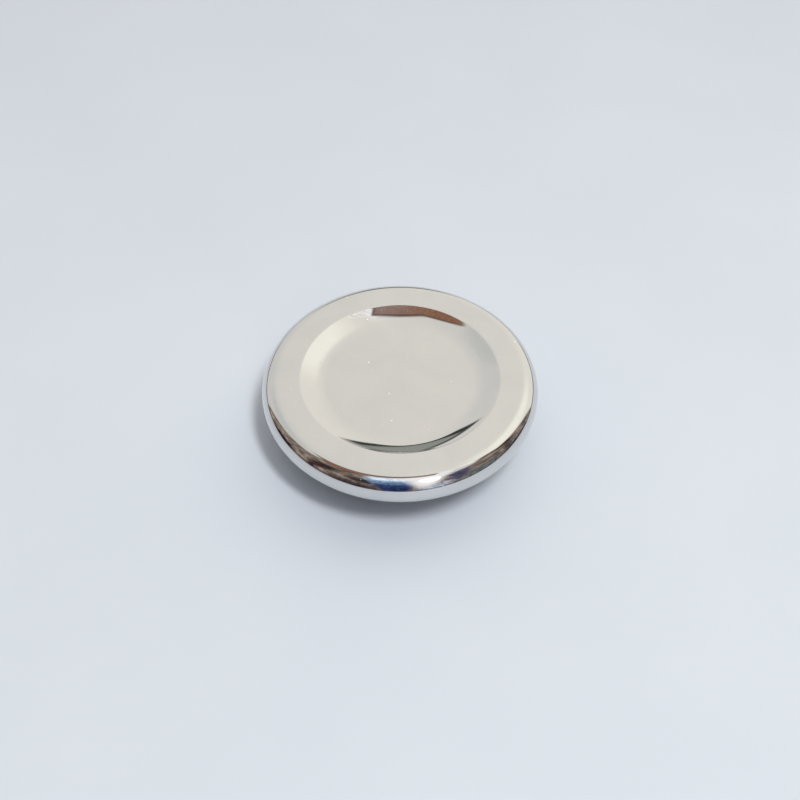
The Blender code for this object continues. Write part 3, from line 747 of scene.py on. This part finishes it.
def cage_piece():
    """The turned brass cage: flange, bore, seat and port, with turned grooves round its waist."""
    flange_radius, base, top = reach("valve_cage")
    tube = CAGE_BORE + CAGE_WALL
    flange = top - CAGE_FLANGE
    seat_top = base + SEAT_HEIGHT
    seat_foot = seat_top - SEAT_RISE
    bevel = 0.6 * MM
    waist = []
    for height in CAGE_GROOVES:
        waist += [(tube, height + CAGE_GROOVE), (tube - CAGE_GROOVE, height), (tube, height - CAGE_GROOVE)]
    profile = [(CAGE_BORE, top), (flange_radius, top), (flange_radius, flange), (tube + bevel, flange)]
    profile += [(tube, flange - bevel)] + waist + [(tube, base + bevel), (tube - bevel, base)]
    profile += [(CAGE_PORT, base), (CAGE_PORT, seat_top), (SEAT_OUTER, seat_top)]
    profile += [(SEAT_OUTER + CAGE_GROOVE, seat_foot), (CAGE_BORE, seat_foot)]
    cage = helper("cage", spun(rounded(profile, EDGE), VALVE_SEGMENTS))
    return drilled("cage_turned", cage, [rivet_pegs()], "cover", "valve_cage", "valve_brass")


def relief_disc_piece():
    """The relief valve's disc, with its spring rim, stem bore and four vents."""
    outer, base, top = reach("relief_disc")
    face = base + 0.7 * MM
    bore = 0.9 * MM
    inside = outer - 0.5 * MM
    sides = 24
    profile = [(bore, base), (outer, base), (outer, top), (inside, top), (inside, face), (bore, face)]
    disc = helper("disc", spun(rounded(profile, EDGE), VALVE_SEGMENTS))
    vents = pegs(4, DISC_VENT_CIRCLE, DISC_VENT, base, face, 45.0, THIN_EDGE, sides)
    return drilled("relief_disc_turned", disc, [vents], "relief_valve", "relief_disc", "valve_brass")


def poppet_piece():
    """The vacuum valve: a rounded head on a stem with a domed tip and a groove for its keeper."""
    head, base, tip = reach("vacuum_poppet")
    stem = 0.6 * MM
    head_top = base + 0.65 * MM
    head_edge = 0.25 * MM
    groove = stem - 0.1 * MM
    mouth = 0.5 * MM
    floor = 0.35 * MM
    keeper = middle_of("vacuum_keeper").z
    profile = rounded([(0.0, base), (head, base), (head, head_top), (stem, head_top)], head_edge)[:-1]
    profile += [(stem + EDGE, head_top), (stem, head_top + EDGE), (stem, keeper - mouth)]
    profile += [(groove, keeper - floor), (groove, keeper + floor)]
    profile += [(stem, keeper + mouth)] + arc((0.0, tip - stem * 0.8), stem, 0, 90, 8)
    profile = [(radius, min(height, tip)) for radius, height in profile[:-1]] + [(0.0, tip)]
    shape = spun(profile, SMALL_SEGMENTS)
    return finished("poppet_turned", shape, "vacuum_valve", "vacuum_poppet", "valve_brass")


def ring_piece(name, node, inner, body, slot, ease):
    """A flat ring with eased edges, as wide and thick as its CAD node."""
    outer, base, top = reach(node)
    shape = spun(ring_outline(inner, outer, base, top, ease), PLAIN_SEGMENTS)
    return finished(name, shape, body, node, slot)


def keeper_piece():
    """The press-on keeper: a small washer with slits that grip the stem."""
    outer, base, top = reach("vacuum_keeper")
    bore = 0.65 * MM
    edge = 0.1 * MM
    slit_count = 5
    slit = (0.7 * MM, 0.16 * MM, 3.0 * MM)
    slit_place = (0.9 * MM, 0.0, (base + top) / 2)
    keeper = helper("keeper", spun(ring_outline(bore, outer, base, top, edge), SMALL_SEGMENTS))
    slits = bmesh.new()
    for index in range(slit_count):
        made = bmesh.ops.create_cube(slits, size=1.0)
        bmesh.ops.scale(slits, verts=made["verts"], vec=slit)
        bmesh.ops.translate(slits, verts=made["verts"], vec=slit_place)
        turn = Matrix.Rotation(2 * math.pi * index / slit_count, 3, "Z")
        bmesh.ops.rotate(slits, verts=made["verts"], cent=(0.0, 0.0, 0.0), matrix=turn)
    cutters = [helper("slits", slits)]
    return drilled("keeper_pressed", keeper, cutters, "vacuum_valve", "vacuum_keeper", "rivet_steel")


def coil_piece(name, node, wire, body):
    """A coil spring as wide and tall as its CAD node."""
    outer, base, top = reach(node)
    mesh = coil(outer - wire / 2, wire, base, top - base)
    return dressed(linked(name, mesh), body, node, "spring_steel")


def filter_piece():
    """The felt disc: a soft uneven pad with eased edges."""
    outer, base, top = reach("vent_filter")
    fuzz = 0.05 * MM
    ease = 0.2 * MM
    rows = 24
    clumps, fibres = 1400.0, 4100.0
    side_radius = outer - fuzz
    bottom_row = [(outer * row / rows, base + fuzz) for row in range(rows)]
    top_row = [(radius, top - fuzz) for radius, _ in bottom_row]
    side = [bottom_row[-1], (side_radius, base + fuzz), (side_radius, top - fuzz), top_row[-1]]
    side = [point for point in rounded(side, ease) if point[0] > bottom_row[-1][0] + FINE_EDGE]
    shape = spun(bottom_row + side + top_row[::-1], WALL_SEGMENTS)
    for corner in shape.verts:
        lift = noise.noise(corner.co * clumps) + 0.5 * noise.noise(corner.co * fibres)
        corner.co += corner.normal * fuzz * 0.66 * lift
    return finished("filter_felt", shape, "cover", "vent_filter", "vent_felt")


# ---- baffle and flame screen

def baffle_piece():
    """The slosh baffle: six eased holes and a pressed rib round its middle."""
    outer, base, top = reach("baffle_plate")
    below = [(radius, base - drop) for radius, drop in BAFFLE_RIB]
    above = [(radius, top - drop) for radius, drop in BAFFLE_RIB]
    outline = [(0.0, base)] + below + [(outer, base), (outer, top)] + above[::-1] + [(0.0, top)]
    baffle = helper("baffle", spun(rounded(outline, EDGE), WALL_SEGMENTS))
    holes = pegs(BAFFLE_HOLE_COUNT, BAFFLE_HOLE_CIRCLE, BAFFLE_HOLE, base, top, 0.0, EDGE, 48)
    return drilled("baffle_pressed", baffle, [holes], "cover", "baffle_plate", "zinc_plate")


def gauze_paths(span, middle, pitch, swing):
    """Centre lines of woven wires, one row each way, which pass over and under one another."""
    rows = int(span / pitch)
    paths = []
    for across in (False, True):
        for row in range(-rows, rows + 1):
            offset = row * pitch
            half = math.sqrt(span ** 2 - offset ** 2)
            steps = max(int(8 * half / pitch), 4)
            side = (-1) ** row * (-1 if across else 1)
            path = []
            for step in range(steps + 1):
                along = -half + 2 * half * step / steps
                height = middle + side * swing * math.cos(math.pi * along / pitch)
                path.append((offset, along, height) if across else (along, offset, height))
            paths.append(path)
    return paths


def gauze_piece():
    """The flame screen as woven wire in a folded rim."""
    outer, base, top = reach("flame_screen")
    wire = 0.16 * MM
    pitch = 0.8 * MM
    swing = 0.52 * wire
    rim_width = 0.9 * MM
    tucked = 0.4 * MM
    above_middle = 0.03 * MM
    paths = gauze_paths(outer - tucked, (base + top) / 2 + above_middle, pitch, swing)
    rim = spun(ring_outline(outer - rim_width, outer, base, top, FINE_EDGE), WALL_SEGMENTS)
    shape = bmesh.new()
    shape.from_mesh(wire_mesh(paths, wire, 1))
    shape.from_mesh(mesh_of("rim", rim))
    return finished("screen_woven", shape, "cover", "flame_screen", "screen_gauze")


def snap_ring_piece(name, node):
    """A snap ring of round wire in its CAD node's place."""
    low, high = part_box(node)
    wire = high.z - low.z
    mesh = open_ring(high.y - wire / 2, (low.z + high.z) / 2, wire, SNAP_RING_GAP)
    return dressed(linked(name, mesh), "cover", node, "spring_steel")


# ---- sprung gasket

def gasket_piece():
    """The rubber ring: eased edges, a mould line round its middle and the print of the neck's rim."""
    outer, base, top = reach("gasket")
    inner = 19.8 * MM
    middle = (base + top) / 2
    print_face = base + 0.06 * MM
    side = outer - 0.05 * MM
    bevel = 0.3 * MM
    flash = 0.1 * MM
    profile = [(inner, base + bevel), (inner + bevel, base)]
    profile += [(NECK_PRINT[0], base), (NECK_PRINT[1], print_face)]
    profile += [(NECK_PRINT[2], print_face), (NECK_PRINT[3], base)]
    profile += [(side - bevel, base), (side, base + bevel)]
    profile += [(side, middle - flash), (outer, middle), (side, middle + flash), (side, top), (inner, top)]
    shape = spun(rounded(profile, EDGE), FINE_SEGMENTS)
    return finished("gasket_moulded", shape, "seal", "gasket", "seal_rubber")


def seal_plate_piece():
    """The pressed ring that backs the gasket, with its rim turned down round the rubber."""
    outer, rim_base, top = reach("seal_plate")
    under = top - 0.75 * MM
    inner = 18.8 * MM
    corner = 0.5 * MM
    rim_inside = outer - 0.7 * MM
    profile = [(inner, under), (rim_inside, under), (rim_inside, rim_base), (outer, rim_base)]
    outside = arc((outer - corner, top - corner), corner, 0, 90, 6)
    eased = rounded(profile + [outside[0]], EDGE)[:-CORNER_STEPS - 1]
    shape = spun(eased + outside + [(inner + EDGE, top), (inner, top - EDGE)], FINE_SEGMENTS)
    return finished("seal_plate_pressed", shape, "seal", "seal_plate", "zinc_plate")


def wave_spring_piece():
    """The flat ring pressed into four waves, with eased edges."""
    outer, base, top = reach("wave_spring")
    inner = 19.5 * MM
    sheet = 0.3 * MM
    edge = 0.1 * MM
    swing = (top - base - sheet) / 2
    shape = spun(ring_outline(inner, outer, 0.0, sheet, edge), COVER_SEGMENTS)
    for corner in shape.verts:
        turn = math.atan2(corner.co.y, corner.co.x)
        corner.co.z += base + swing * (1.0 + math.cos(WAVE_COUNT * turn))
    return finished("spring_waved", shape, "cover", "wave_spring", "spring_steel")


def shortens(piece):
    """Gives a spring its own copy of its mesh."""
    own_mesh(piece)


cover_piece()
pan_piece()
cup_piece()
for rivet_number in range(1, RIVET_COUNT + 1):
    rivet_piece(rivet_number)
cage_piece()
relief_disc_piece()
poppet_piece()
keeper_piece()
ring_piece("relief_seal_moulded", "relief_seal", RELIEF_SEAL_BORE, "relief_valve", "seal_rubber", EDGE)
ring_piece("vacuum_seal_moulded", "vacuum_seal", VACUUM_SEAL_BORE, "vacuum_valve", "seal_rubber", THIN_EDGE)
ring_piece("slip_washer_rolled", "slip_washer", SLIP_WASHER_BORE, "washer", "stainless_cup", THIN_EDGE)
relief_coil = coil_piece("relief_coil", "relief_spring", RELIEF_WIRE, "cover")
vacuum_coil = coil_piece("vacuum_coil", "vacuum_spring", VACUUM_WIRE, "relief_valve")
filter_piece()
baffle_piece()
gauze_piece()
snap_ring_piece("baffle_ring_wire", "baffle_snap_ring")
snap_ring_piece("seal_ring_wire", "seal_snap_ring")
gasket_piece()
seal_plate_piece()
waved = wave_spring_piece()
shortens(waved)
shortens(relief_coil)
shortens(vacuum_coil)


# ---- studio

CAMERA_ELEVATION = math.radians(49.3)
CAMERA_DISTANCE = 0.2635
CAMERA_LENS = 51.9
SENSOR_WIDTH = 36.0
FLOOR_RADIUS = 12.0
FLOOR_DROP = 0.02 * MM
AIM = Vector((0.0, 0.0, (CAD_BOX[0][2] + CAD_BOX[1][2]) / 2))
KEY_DIRECTION = Vector((0.22, -0.34, 0.91))
KEY_SIZE = (0.10, 0.22)
KEY_DISTANCE = 0.9
KEY_ENERGY = 4.2
KEY_COLOUR = (1.0, 0.98, 0.95)

# Soft shapes in the room: colour, centre, size, turn and softness on the chart of directions
CEILING_SHADES = (
    ((1.16, 1.12, 1.00), (0.40, 0.24), (0.19, 0.22), 0.0, 0.55),
    ((0.67, 0.67, 0.64), (-0.45, 0.22), (0.14, 0.20), 0.0, 0.4),
)
GLOWS = (
    ((1.04, 1.06, 1.10), (0.10, -0.14), (0.13, 0.13), 0.0, 0.5),
    ((1.15, 1.12, 1.10), (0.17, -0.40), (0.11, 0.36), 10.0, 0.5),
    ((7.0, 6.8, 6.6), (0.18, -0.34), (0.045, 0.09), 12.0, 0.7),
)
BACKDROP = (
    ((1.10, 1.06, 1.00), (0.22, -0.06), (0.13, 0.20), 0.0, 0.3),
    ((0.012, 0.008, 0.016), (-0.95, 0.02), (0.10, 0.17), 0.0, 0.5),
    ((0.012, 0.022, 0.07), (0.98, -0.04), (0.09, 0.28), 0.0, 0.5),
    ((0.05, 0.03, 0.03), (-0.52, -0.26), (0.20, 0.09), 25.0, 0.6),
    ((0.05, 0.04, 0.038), (-0.28, -0.47), (0.13, 0.12), 20.0, 0.5),
    ((0.07, 0.03, 0.035), (-0.78, -0.37), (0.24, 0.05), 22.0, 0.5),
    ((0.055, 0.038, 0.045), (-0.50, -0.82), (0.34, 0.22), -30.0, 0.7),
    ((0.14, 0.17, 0.17), (0.80, -0.50), (0.22, 0.25), 0.0, 0.7),
    ((0.05, 0.04, 0.035), (0.59, 0.03), (0.09, 0.06), 0.0, 0.4),
    ((0.05, 0.04, 0.035), (0.44, 0.01), (0.05, 0.035), 0.0, 0.4),
    ((0.09, 0.075, 0.065), (0.78, -0.07), (0.20, 0.05), -20.0, 0.6),
    ((0.09, 0.085, 0.15), (0.42, -0.38), (0.09, 0.28), 28.0, 0.6),
    ((0.50, 0.54, 0.66), (0.36, -0.82), (0.17, 0.22), 0.0, 0.6),
)

# The window's centre and size, and its sky from the top downwards: share of the way and colour
WINDOW = ((-0.05, -0.62), (0.17, 0.56))
SKY = (
    (0.08, (1.00, 1.14, 1.33)),
    (0.23, (0.92, 1.10, 1.28)),
    (0.30, (0.49, 0.65, 0.83)),
    (0.40, (0.22, 0.33, 0.50)),
    (0.50, (0.11, 0.19, 0.35)),
    (0.62, (0.04, 0.068, 0.18)),
    (0.82, (0.020, 0.032, 0.105)),
    (1.00, (0.034, 0.050, 0.15)),
)

# Edges on the chart of directions: two points and a softness. What lies on their left is inside.
CEILING_EDGE = ((-1.0, -0.005), (1.0, 0.035), 0.012)
DIM_LEFT = ((-0.42, -0.02), (-0.80, 0.36), 0.03)
DIM_RIGHT = ((0.84, 0.36), (0.44, 0.0), 0.03)
WALL_BASE = ((-0.27, 0.79), (0.15, 0.905), 0.008)
WALL_LEFT = ((-0.05, 1.02), (-0.27, 0.80), 0.008)
WALL_RIGHT = ((0.18, 0.92), (0.03, 1.02), 0.03)
BEAM_FAR = ((1.0, 0.008), (-1.0, 0.004), 0.005)
BEAM_SLANT = ((-0.12, 0.012), (-0.30, 0.10), 0.006)
BEAM_NEAR = ((-1.0, -0.082), (1.0, -0.082), 0.008)
BEAM_LEFT = ((-0.31, 1.0), (-0.31, -1.0), 0.02)
BEAM_RIGHT = ((0.14, -1.0), (0.14, 1.0), 0.006)
BEAM_BORDER = 0.014
WALL_BORDERS = (0.04, 0.022)

# Shares of the way from the zenith to the horizon, and spans from left to right
SKIRTING_START = (0.955, 0.975)
SKIRTING_AHEAD = (0.982, 0.992)
HORIZON = (1.0, 1.02)
CEILING_SPAN = (-0.6, 0.5)
BEAM_SPAN = (-0.2, 0.12)
STREAKS_AROUND = 22.0
STREAKS_DOWN = 9.0
SHAKE = 0.22

# Colours of the room
BEAM_EDGE_COLOUR = (0.13, 0.08, 0.06)
BEAM_COLOURS = ((0.31, 0.16, 0.10), (0.34, 0.235, 0.20))
CEILING_COLOURS = ((0.74, 0.72, 0.69), (0.98, 0.94, 0.85))
CLUTTER_COLOURS = ((0.15, 0.115, 0.10), (0.40, 0.32, 0.26))
SPARK_COLOUR = (0.75, 0.80, 0.92)
WALL_EDGE_COLOUR = (0.05, 0.052, 0.045)
WALL_COLOUR = (0.33, 0.345, 0.31)
SKIRTING_COLOUR = (0.05, 0.05, 0.055)
BELOW_COLOUR = (0.62, 0.62, 0.61)
PLAIN_COLOUR = (0.86, 0.86, 0.85)


def camera():
    """The camera on the near side, looking down at the middle of the cap."""
    data = bpy.data.cameras.new("camera")
    data.lens = CAMERA_LENS
    data.sensor_width = SENSOR_WIDTH
    data.clip_start = 0.01
    data.clip_end = 50.0
    made = linked("camera", data)
    towards = Vector((0.0, -math.cos(CAMERA_ELEVATION), math.sin(CAMERA_ELEVATION)))
    made.location = AIM + towards * CAMERA_DISTANCE
    made.rotation_euler = (math.pi / 2 - CAMERA_ELEVATION, 0.0, 0.0)
    bpy.context.scene.camera = made


def floor():
    """A wide round floor just under the cap."""
    shape = bmesh.new()
    bmesh.ops.create_circle(shape, cap_ends=True, segments=SMALL_SEGMENTS, radius=FLOOR_RADIUS)
    made = helper("studio_floor", shape)
    made.data.materials.append(floor_material())
    made.location.z = -FLOOR_DROP


def key_light():
    """A small softbox over the near right of the cap."""
    data = bpy.data.lights.new("key_softbox", "AREA")
    data.shape = "RECTANGLE"
    data.size, data.size_y = KEY_SIZE
    data.energy = KEY_ENERGY
    data.color = KEY_COLOUR
    made = linked("key_softbox", data)
    towards = KEY_DIRECTION.normalized()
    made.location = AIM + towards * KEY_DISTANCE
    made.rotation_euler = towards.to_track_quat("Z", "Y").to_euler()
    made.visible_glossy = False


def patch(graph, chart, centre, size, turn=0.0, soft=0.3):
    """1 inside an ellipse on the chart of directions and 0 outside it, with a soft edge."""
    inputs = {"Vector": chart, "Location": (*centre, 0.0), "Scale": (*size, 1.0)}
    inputs["Rotation"] = (0.0, 0.0, math.radians(turn))
    local = graph.add("ShaderNodeMapping", inputs, vector_type="TEXTURE").outputs[0]
    away = graph.add("ShaderNodeVectorMath", {0: local}, operation="LENGTH").outputs["Value"]
    return graph.smooth(away, 1.0 - soft, 1.0 + soft, 1.0, 0.0)


def patched(graph, chart, room, shapes):
    """The room with each of the soft shapes laid over it."""
    for colour, centre, size, turn, soft in shapes:
        room = graph.mix(patch(graph, chart, centre, size, turn, soft), room, colour)
    return room


def beyond(graph, chart, edge, shift=(0.0, 0.0)):
    """1 on the left of an edge on the chart of directions, moved by a shift, and 0 on its right."""
    start, end, soft = edge
    across = (start[1] - end[1], end[0] - start[0])
    size = math.hypot(*across)
    normal = (across[0] / size, across[1] / size, 0.0)
    along = graph.add("ShaderNodeVectorMath", {0: chart, 1: normal}, operation="DOT_PRODUCT")
    level = normal[0] * (start[0] + shift[0]) + normal[1] * (start[1] + shift[1])
    return graph.smooth(along.outputs["Value"], level - soft, level + soft)


def overlap(graph, masks):
    """The product of masks: 1 where all of them are 1."""
    product = masks[0]
    for mask in masks[1:]:
        product = graph.math("MULTIPLY", product, mask)
    return product


def direction_chart(graph):
    """Directions as a flat chart: the zenith in the middle, the horizon at 1, +X right and +Y up."""
    direction = graph.add("ShaderNodeTexCoord").outputs["Generated"]
    x, y, z = graph.add("ShaderNodeSeparateXYZ", {0: direction}).outputs
    fall = graph.math("MULTIPLY", graph.math("ARCCOSINE", z), 2 / math.pi)
    flat = graph.math("SQRT", graph.math("SUBTRACT", 1.0, graph.math("MULTIPLY", z, z)))
    stretch = graph.math("DIVIDE", fall, graph.math("MAXIMUM", flat, 0.001))
    inputs = {0: graph.math("MULTIPLY", x, stretch), 1: graph.math("MULTIPLY", y, stretch)}
    return graph.add("ShaderNodeCombineXYZ", inputs).outputs[0], fall


def low_wall(graph, chart, border=0.0, side_border=0.0):
    """The low wall ahead that the near side of the dish mirrors, shrunk by its borders."""
    above = beyond(graph, chart, WALL_BASE, (0.0, border))
    left = beyond(graph, chart, WALL_LEFT, (side_border, 0.0))
    right = beyond(graph, chart, WALL_RIGHT, (-side_border, 0.0))
    return overlap(graph, (above, left, right))


def streaked(graph, chart, fall):
    """Noise drawn out towards the horizon, as a chromed edge mirrors a room of small things."""
    around = graph.add("ShaderNodeVectorMath", {0: chart}, operation="NORMALIZE").outputs[0]
    down = graph.add("ShaderNodeCombineXYZ", {2: graph.math("MULTIPLY", fall, STREAKS_DOWN)}).outputs[0]
    place = graph.vector("ADD", graph.vector("SCALE", around, STREAKS_AROUND), down)
    return graph.noise(place, 1.0, 3.0, 0.65)


def shaken(graph, chart):
    """The chart of directions with ragged shifts, for shapes that aren't clean-edged."""
    inputs = {"Vector": chart, "Scale": 11.0, "Detail": 5.0, "Roughness": 0.75}
    ragged = graph.add("ShaderNodeTexNoise", inputs).outputs["Color"]
    centred = graph.vector("SUBTRACT", ragged, (0.5, 0.5, 0.5))
    return graph.vector("ADD", chart, graph.vector("SCALE", centred, SHAKE))


def dim_side(graph, chart):
    """The dim half of the room behind the camera, with slanted ends that reach round both flanks."""
    back = graph.math("SUBTRACT", 1.0, beyond(graph, chart, CEILING_EDGE))
    left = beyond(graph, chart, DIM_LEFT)
    right = beyond(graph, chart, DIM_RIGHT)
    return graph.math("MAXIMUM", back, graph.math("MAXIMUM", left, right))


def beam_mask(graph, chart, border=0.0):
    """A beam overhead, slanted at its left end, less a border along its far edge."""
    flat = beyond(graph, chart, BEAM_FAR, (0.0, -border))
    slanted = beyond(graph, chart, BEAM_SLANT, (0.0, -border))
    far_edge = graph.math("MAXIMUM", flat, slanted)
    near_edge = beyond(graph, chart, BEAM_NEAR)
    left_end = beyond(graph, chart, BEAM_LEFT)
    right_end = beyond(graph, chart, BEAM_RIGHT, (-border, 0.0))
    return overlap(graph, (far_edge, near_edge, left_end, right_end))


def beam(graph, chart, p, room):
    """The room with a thin brown beam, dark along its edge, that the far side of the dish mirrors."""
    warm = graph.mix(graph.smooth(p, *BEAM_SPAN), *BEAM_COLOURS)
    grain = graph.smooth(graph.noise(chart, 70.0, 3.0, 0.7), 0.3, 0.7, 0.7, 1.25)
    room = graph.mix(beam_mask(graph, chart), room, BEAM_EDGE_COLOUR)
    return graph.mix(beam_mask(graph, chart, BEAM_BORDER), room, graph.vector("SCALE", warm, grain))


def behind_camera(graph, chart, q, fall):
    """The dim side: clutter, soft shapes and a window, streaked and sprinkled with sparks."""
    rough_chart = shaken(graph, chart)
    streaks = streaked(graph, chart, fall)
    clutter = graph.smooth(graph.noise(chart, 6.0, 5.0, 0.7), 0.38, 0.64)
    side = patched(graph, rough_chart, graph.mix(clutter, *CLUTTER_COLOURS), BACKDROP)
    sky = graph.ramp(graph.math("MULTIPLY", q, -1.0), SKY)
    side = graph.mix(patch(graph, rough_chart, *WINDOW, 0.0, 0.2), side, sky)
    side = graph.vector("SCALE", side, graph.smooth(streaks, 0.32, 0.68, 0.55, 1.4))
    return graph.mix(graph.smooth(streaks, 0.67, 0.73, 0.0, 0.5), side, SPARK_COLOUR)


def skirting(graph, chart, fall):
    """A dark band just above the horizon, thinner straight ahead."""
    ahead = patch(graph, chart, (0.0, 1.0), (0.55, 0.45), 0.0, 0.1)
    aside = graph.math("SUBTRACT", 1.0, ahead)
    band = graph.math("MULTIPLY", graph.smooth(fall, *SKIRTING_START), aside)
    return graph.math("MAXIMUM", band, graph.smooth(fall, *SKIRTING_AHEAD))


def room_light():
    """The room that the chrome mirrors: a bright cream ceiling, a dim side with a window, a low wall."""
    graph = Graph(bpy.data.worlds.new("studio"))
    chart, fall = direction_chart(graph)
    p, q, _ = graph.add("ShaderNodeSeparateXYZ", {0: chart}).outputs
    ceiling = graph.mix(graph.smooth(p, *CEILING_SPAN), *CEILING_COLOURS)
    ceiling = patched(graph, chart, ceiling, CEILING_SHADES)
    room = graph.mix(dim_side(graph, chart), ceiling, behind_camera(graph, chart, q, fall))
    room = patched(graph, chart, room, GLOWS)
    room = beam(graph, chart, p, room)
    room = graph.mix(low_wall(graph, chart), room, WALL_EDGE_COLOUR)
    room = graph.mix(low_wall(graph, chart, *WALL_BORDERS), room, WALL_COLOUR)
    room = graph.mix(skirting(graph, chart, fall), room, SKIRTING_COLOUR)
    room = graph.mix(graph.smooth(fall, *HORIZON), room, BELOW_COLOUR)
    for_camera = graph.add("ShaderNodeLightPath").outputs["Is Camera Ray"]
    background = graph.tree.nodes["Background"]
    graph.tree.links.new(graph.mix(for_camera, room, PLAIN_COLOUR), background.inputs["Color"])
    bpy.context.scene.world = graph.owner


camera()
floor()
key_light()
room_light()
bpy.context.scene.view_settings.view_transform = "Standard"
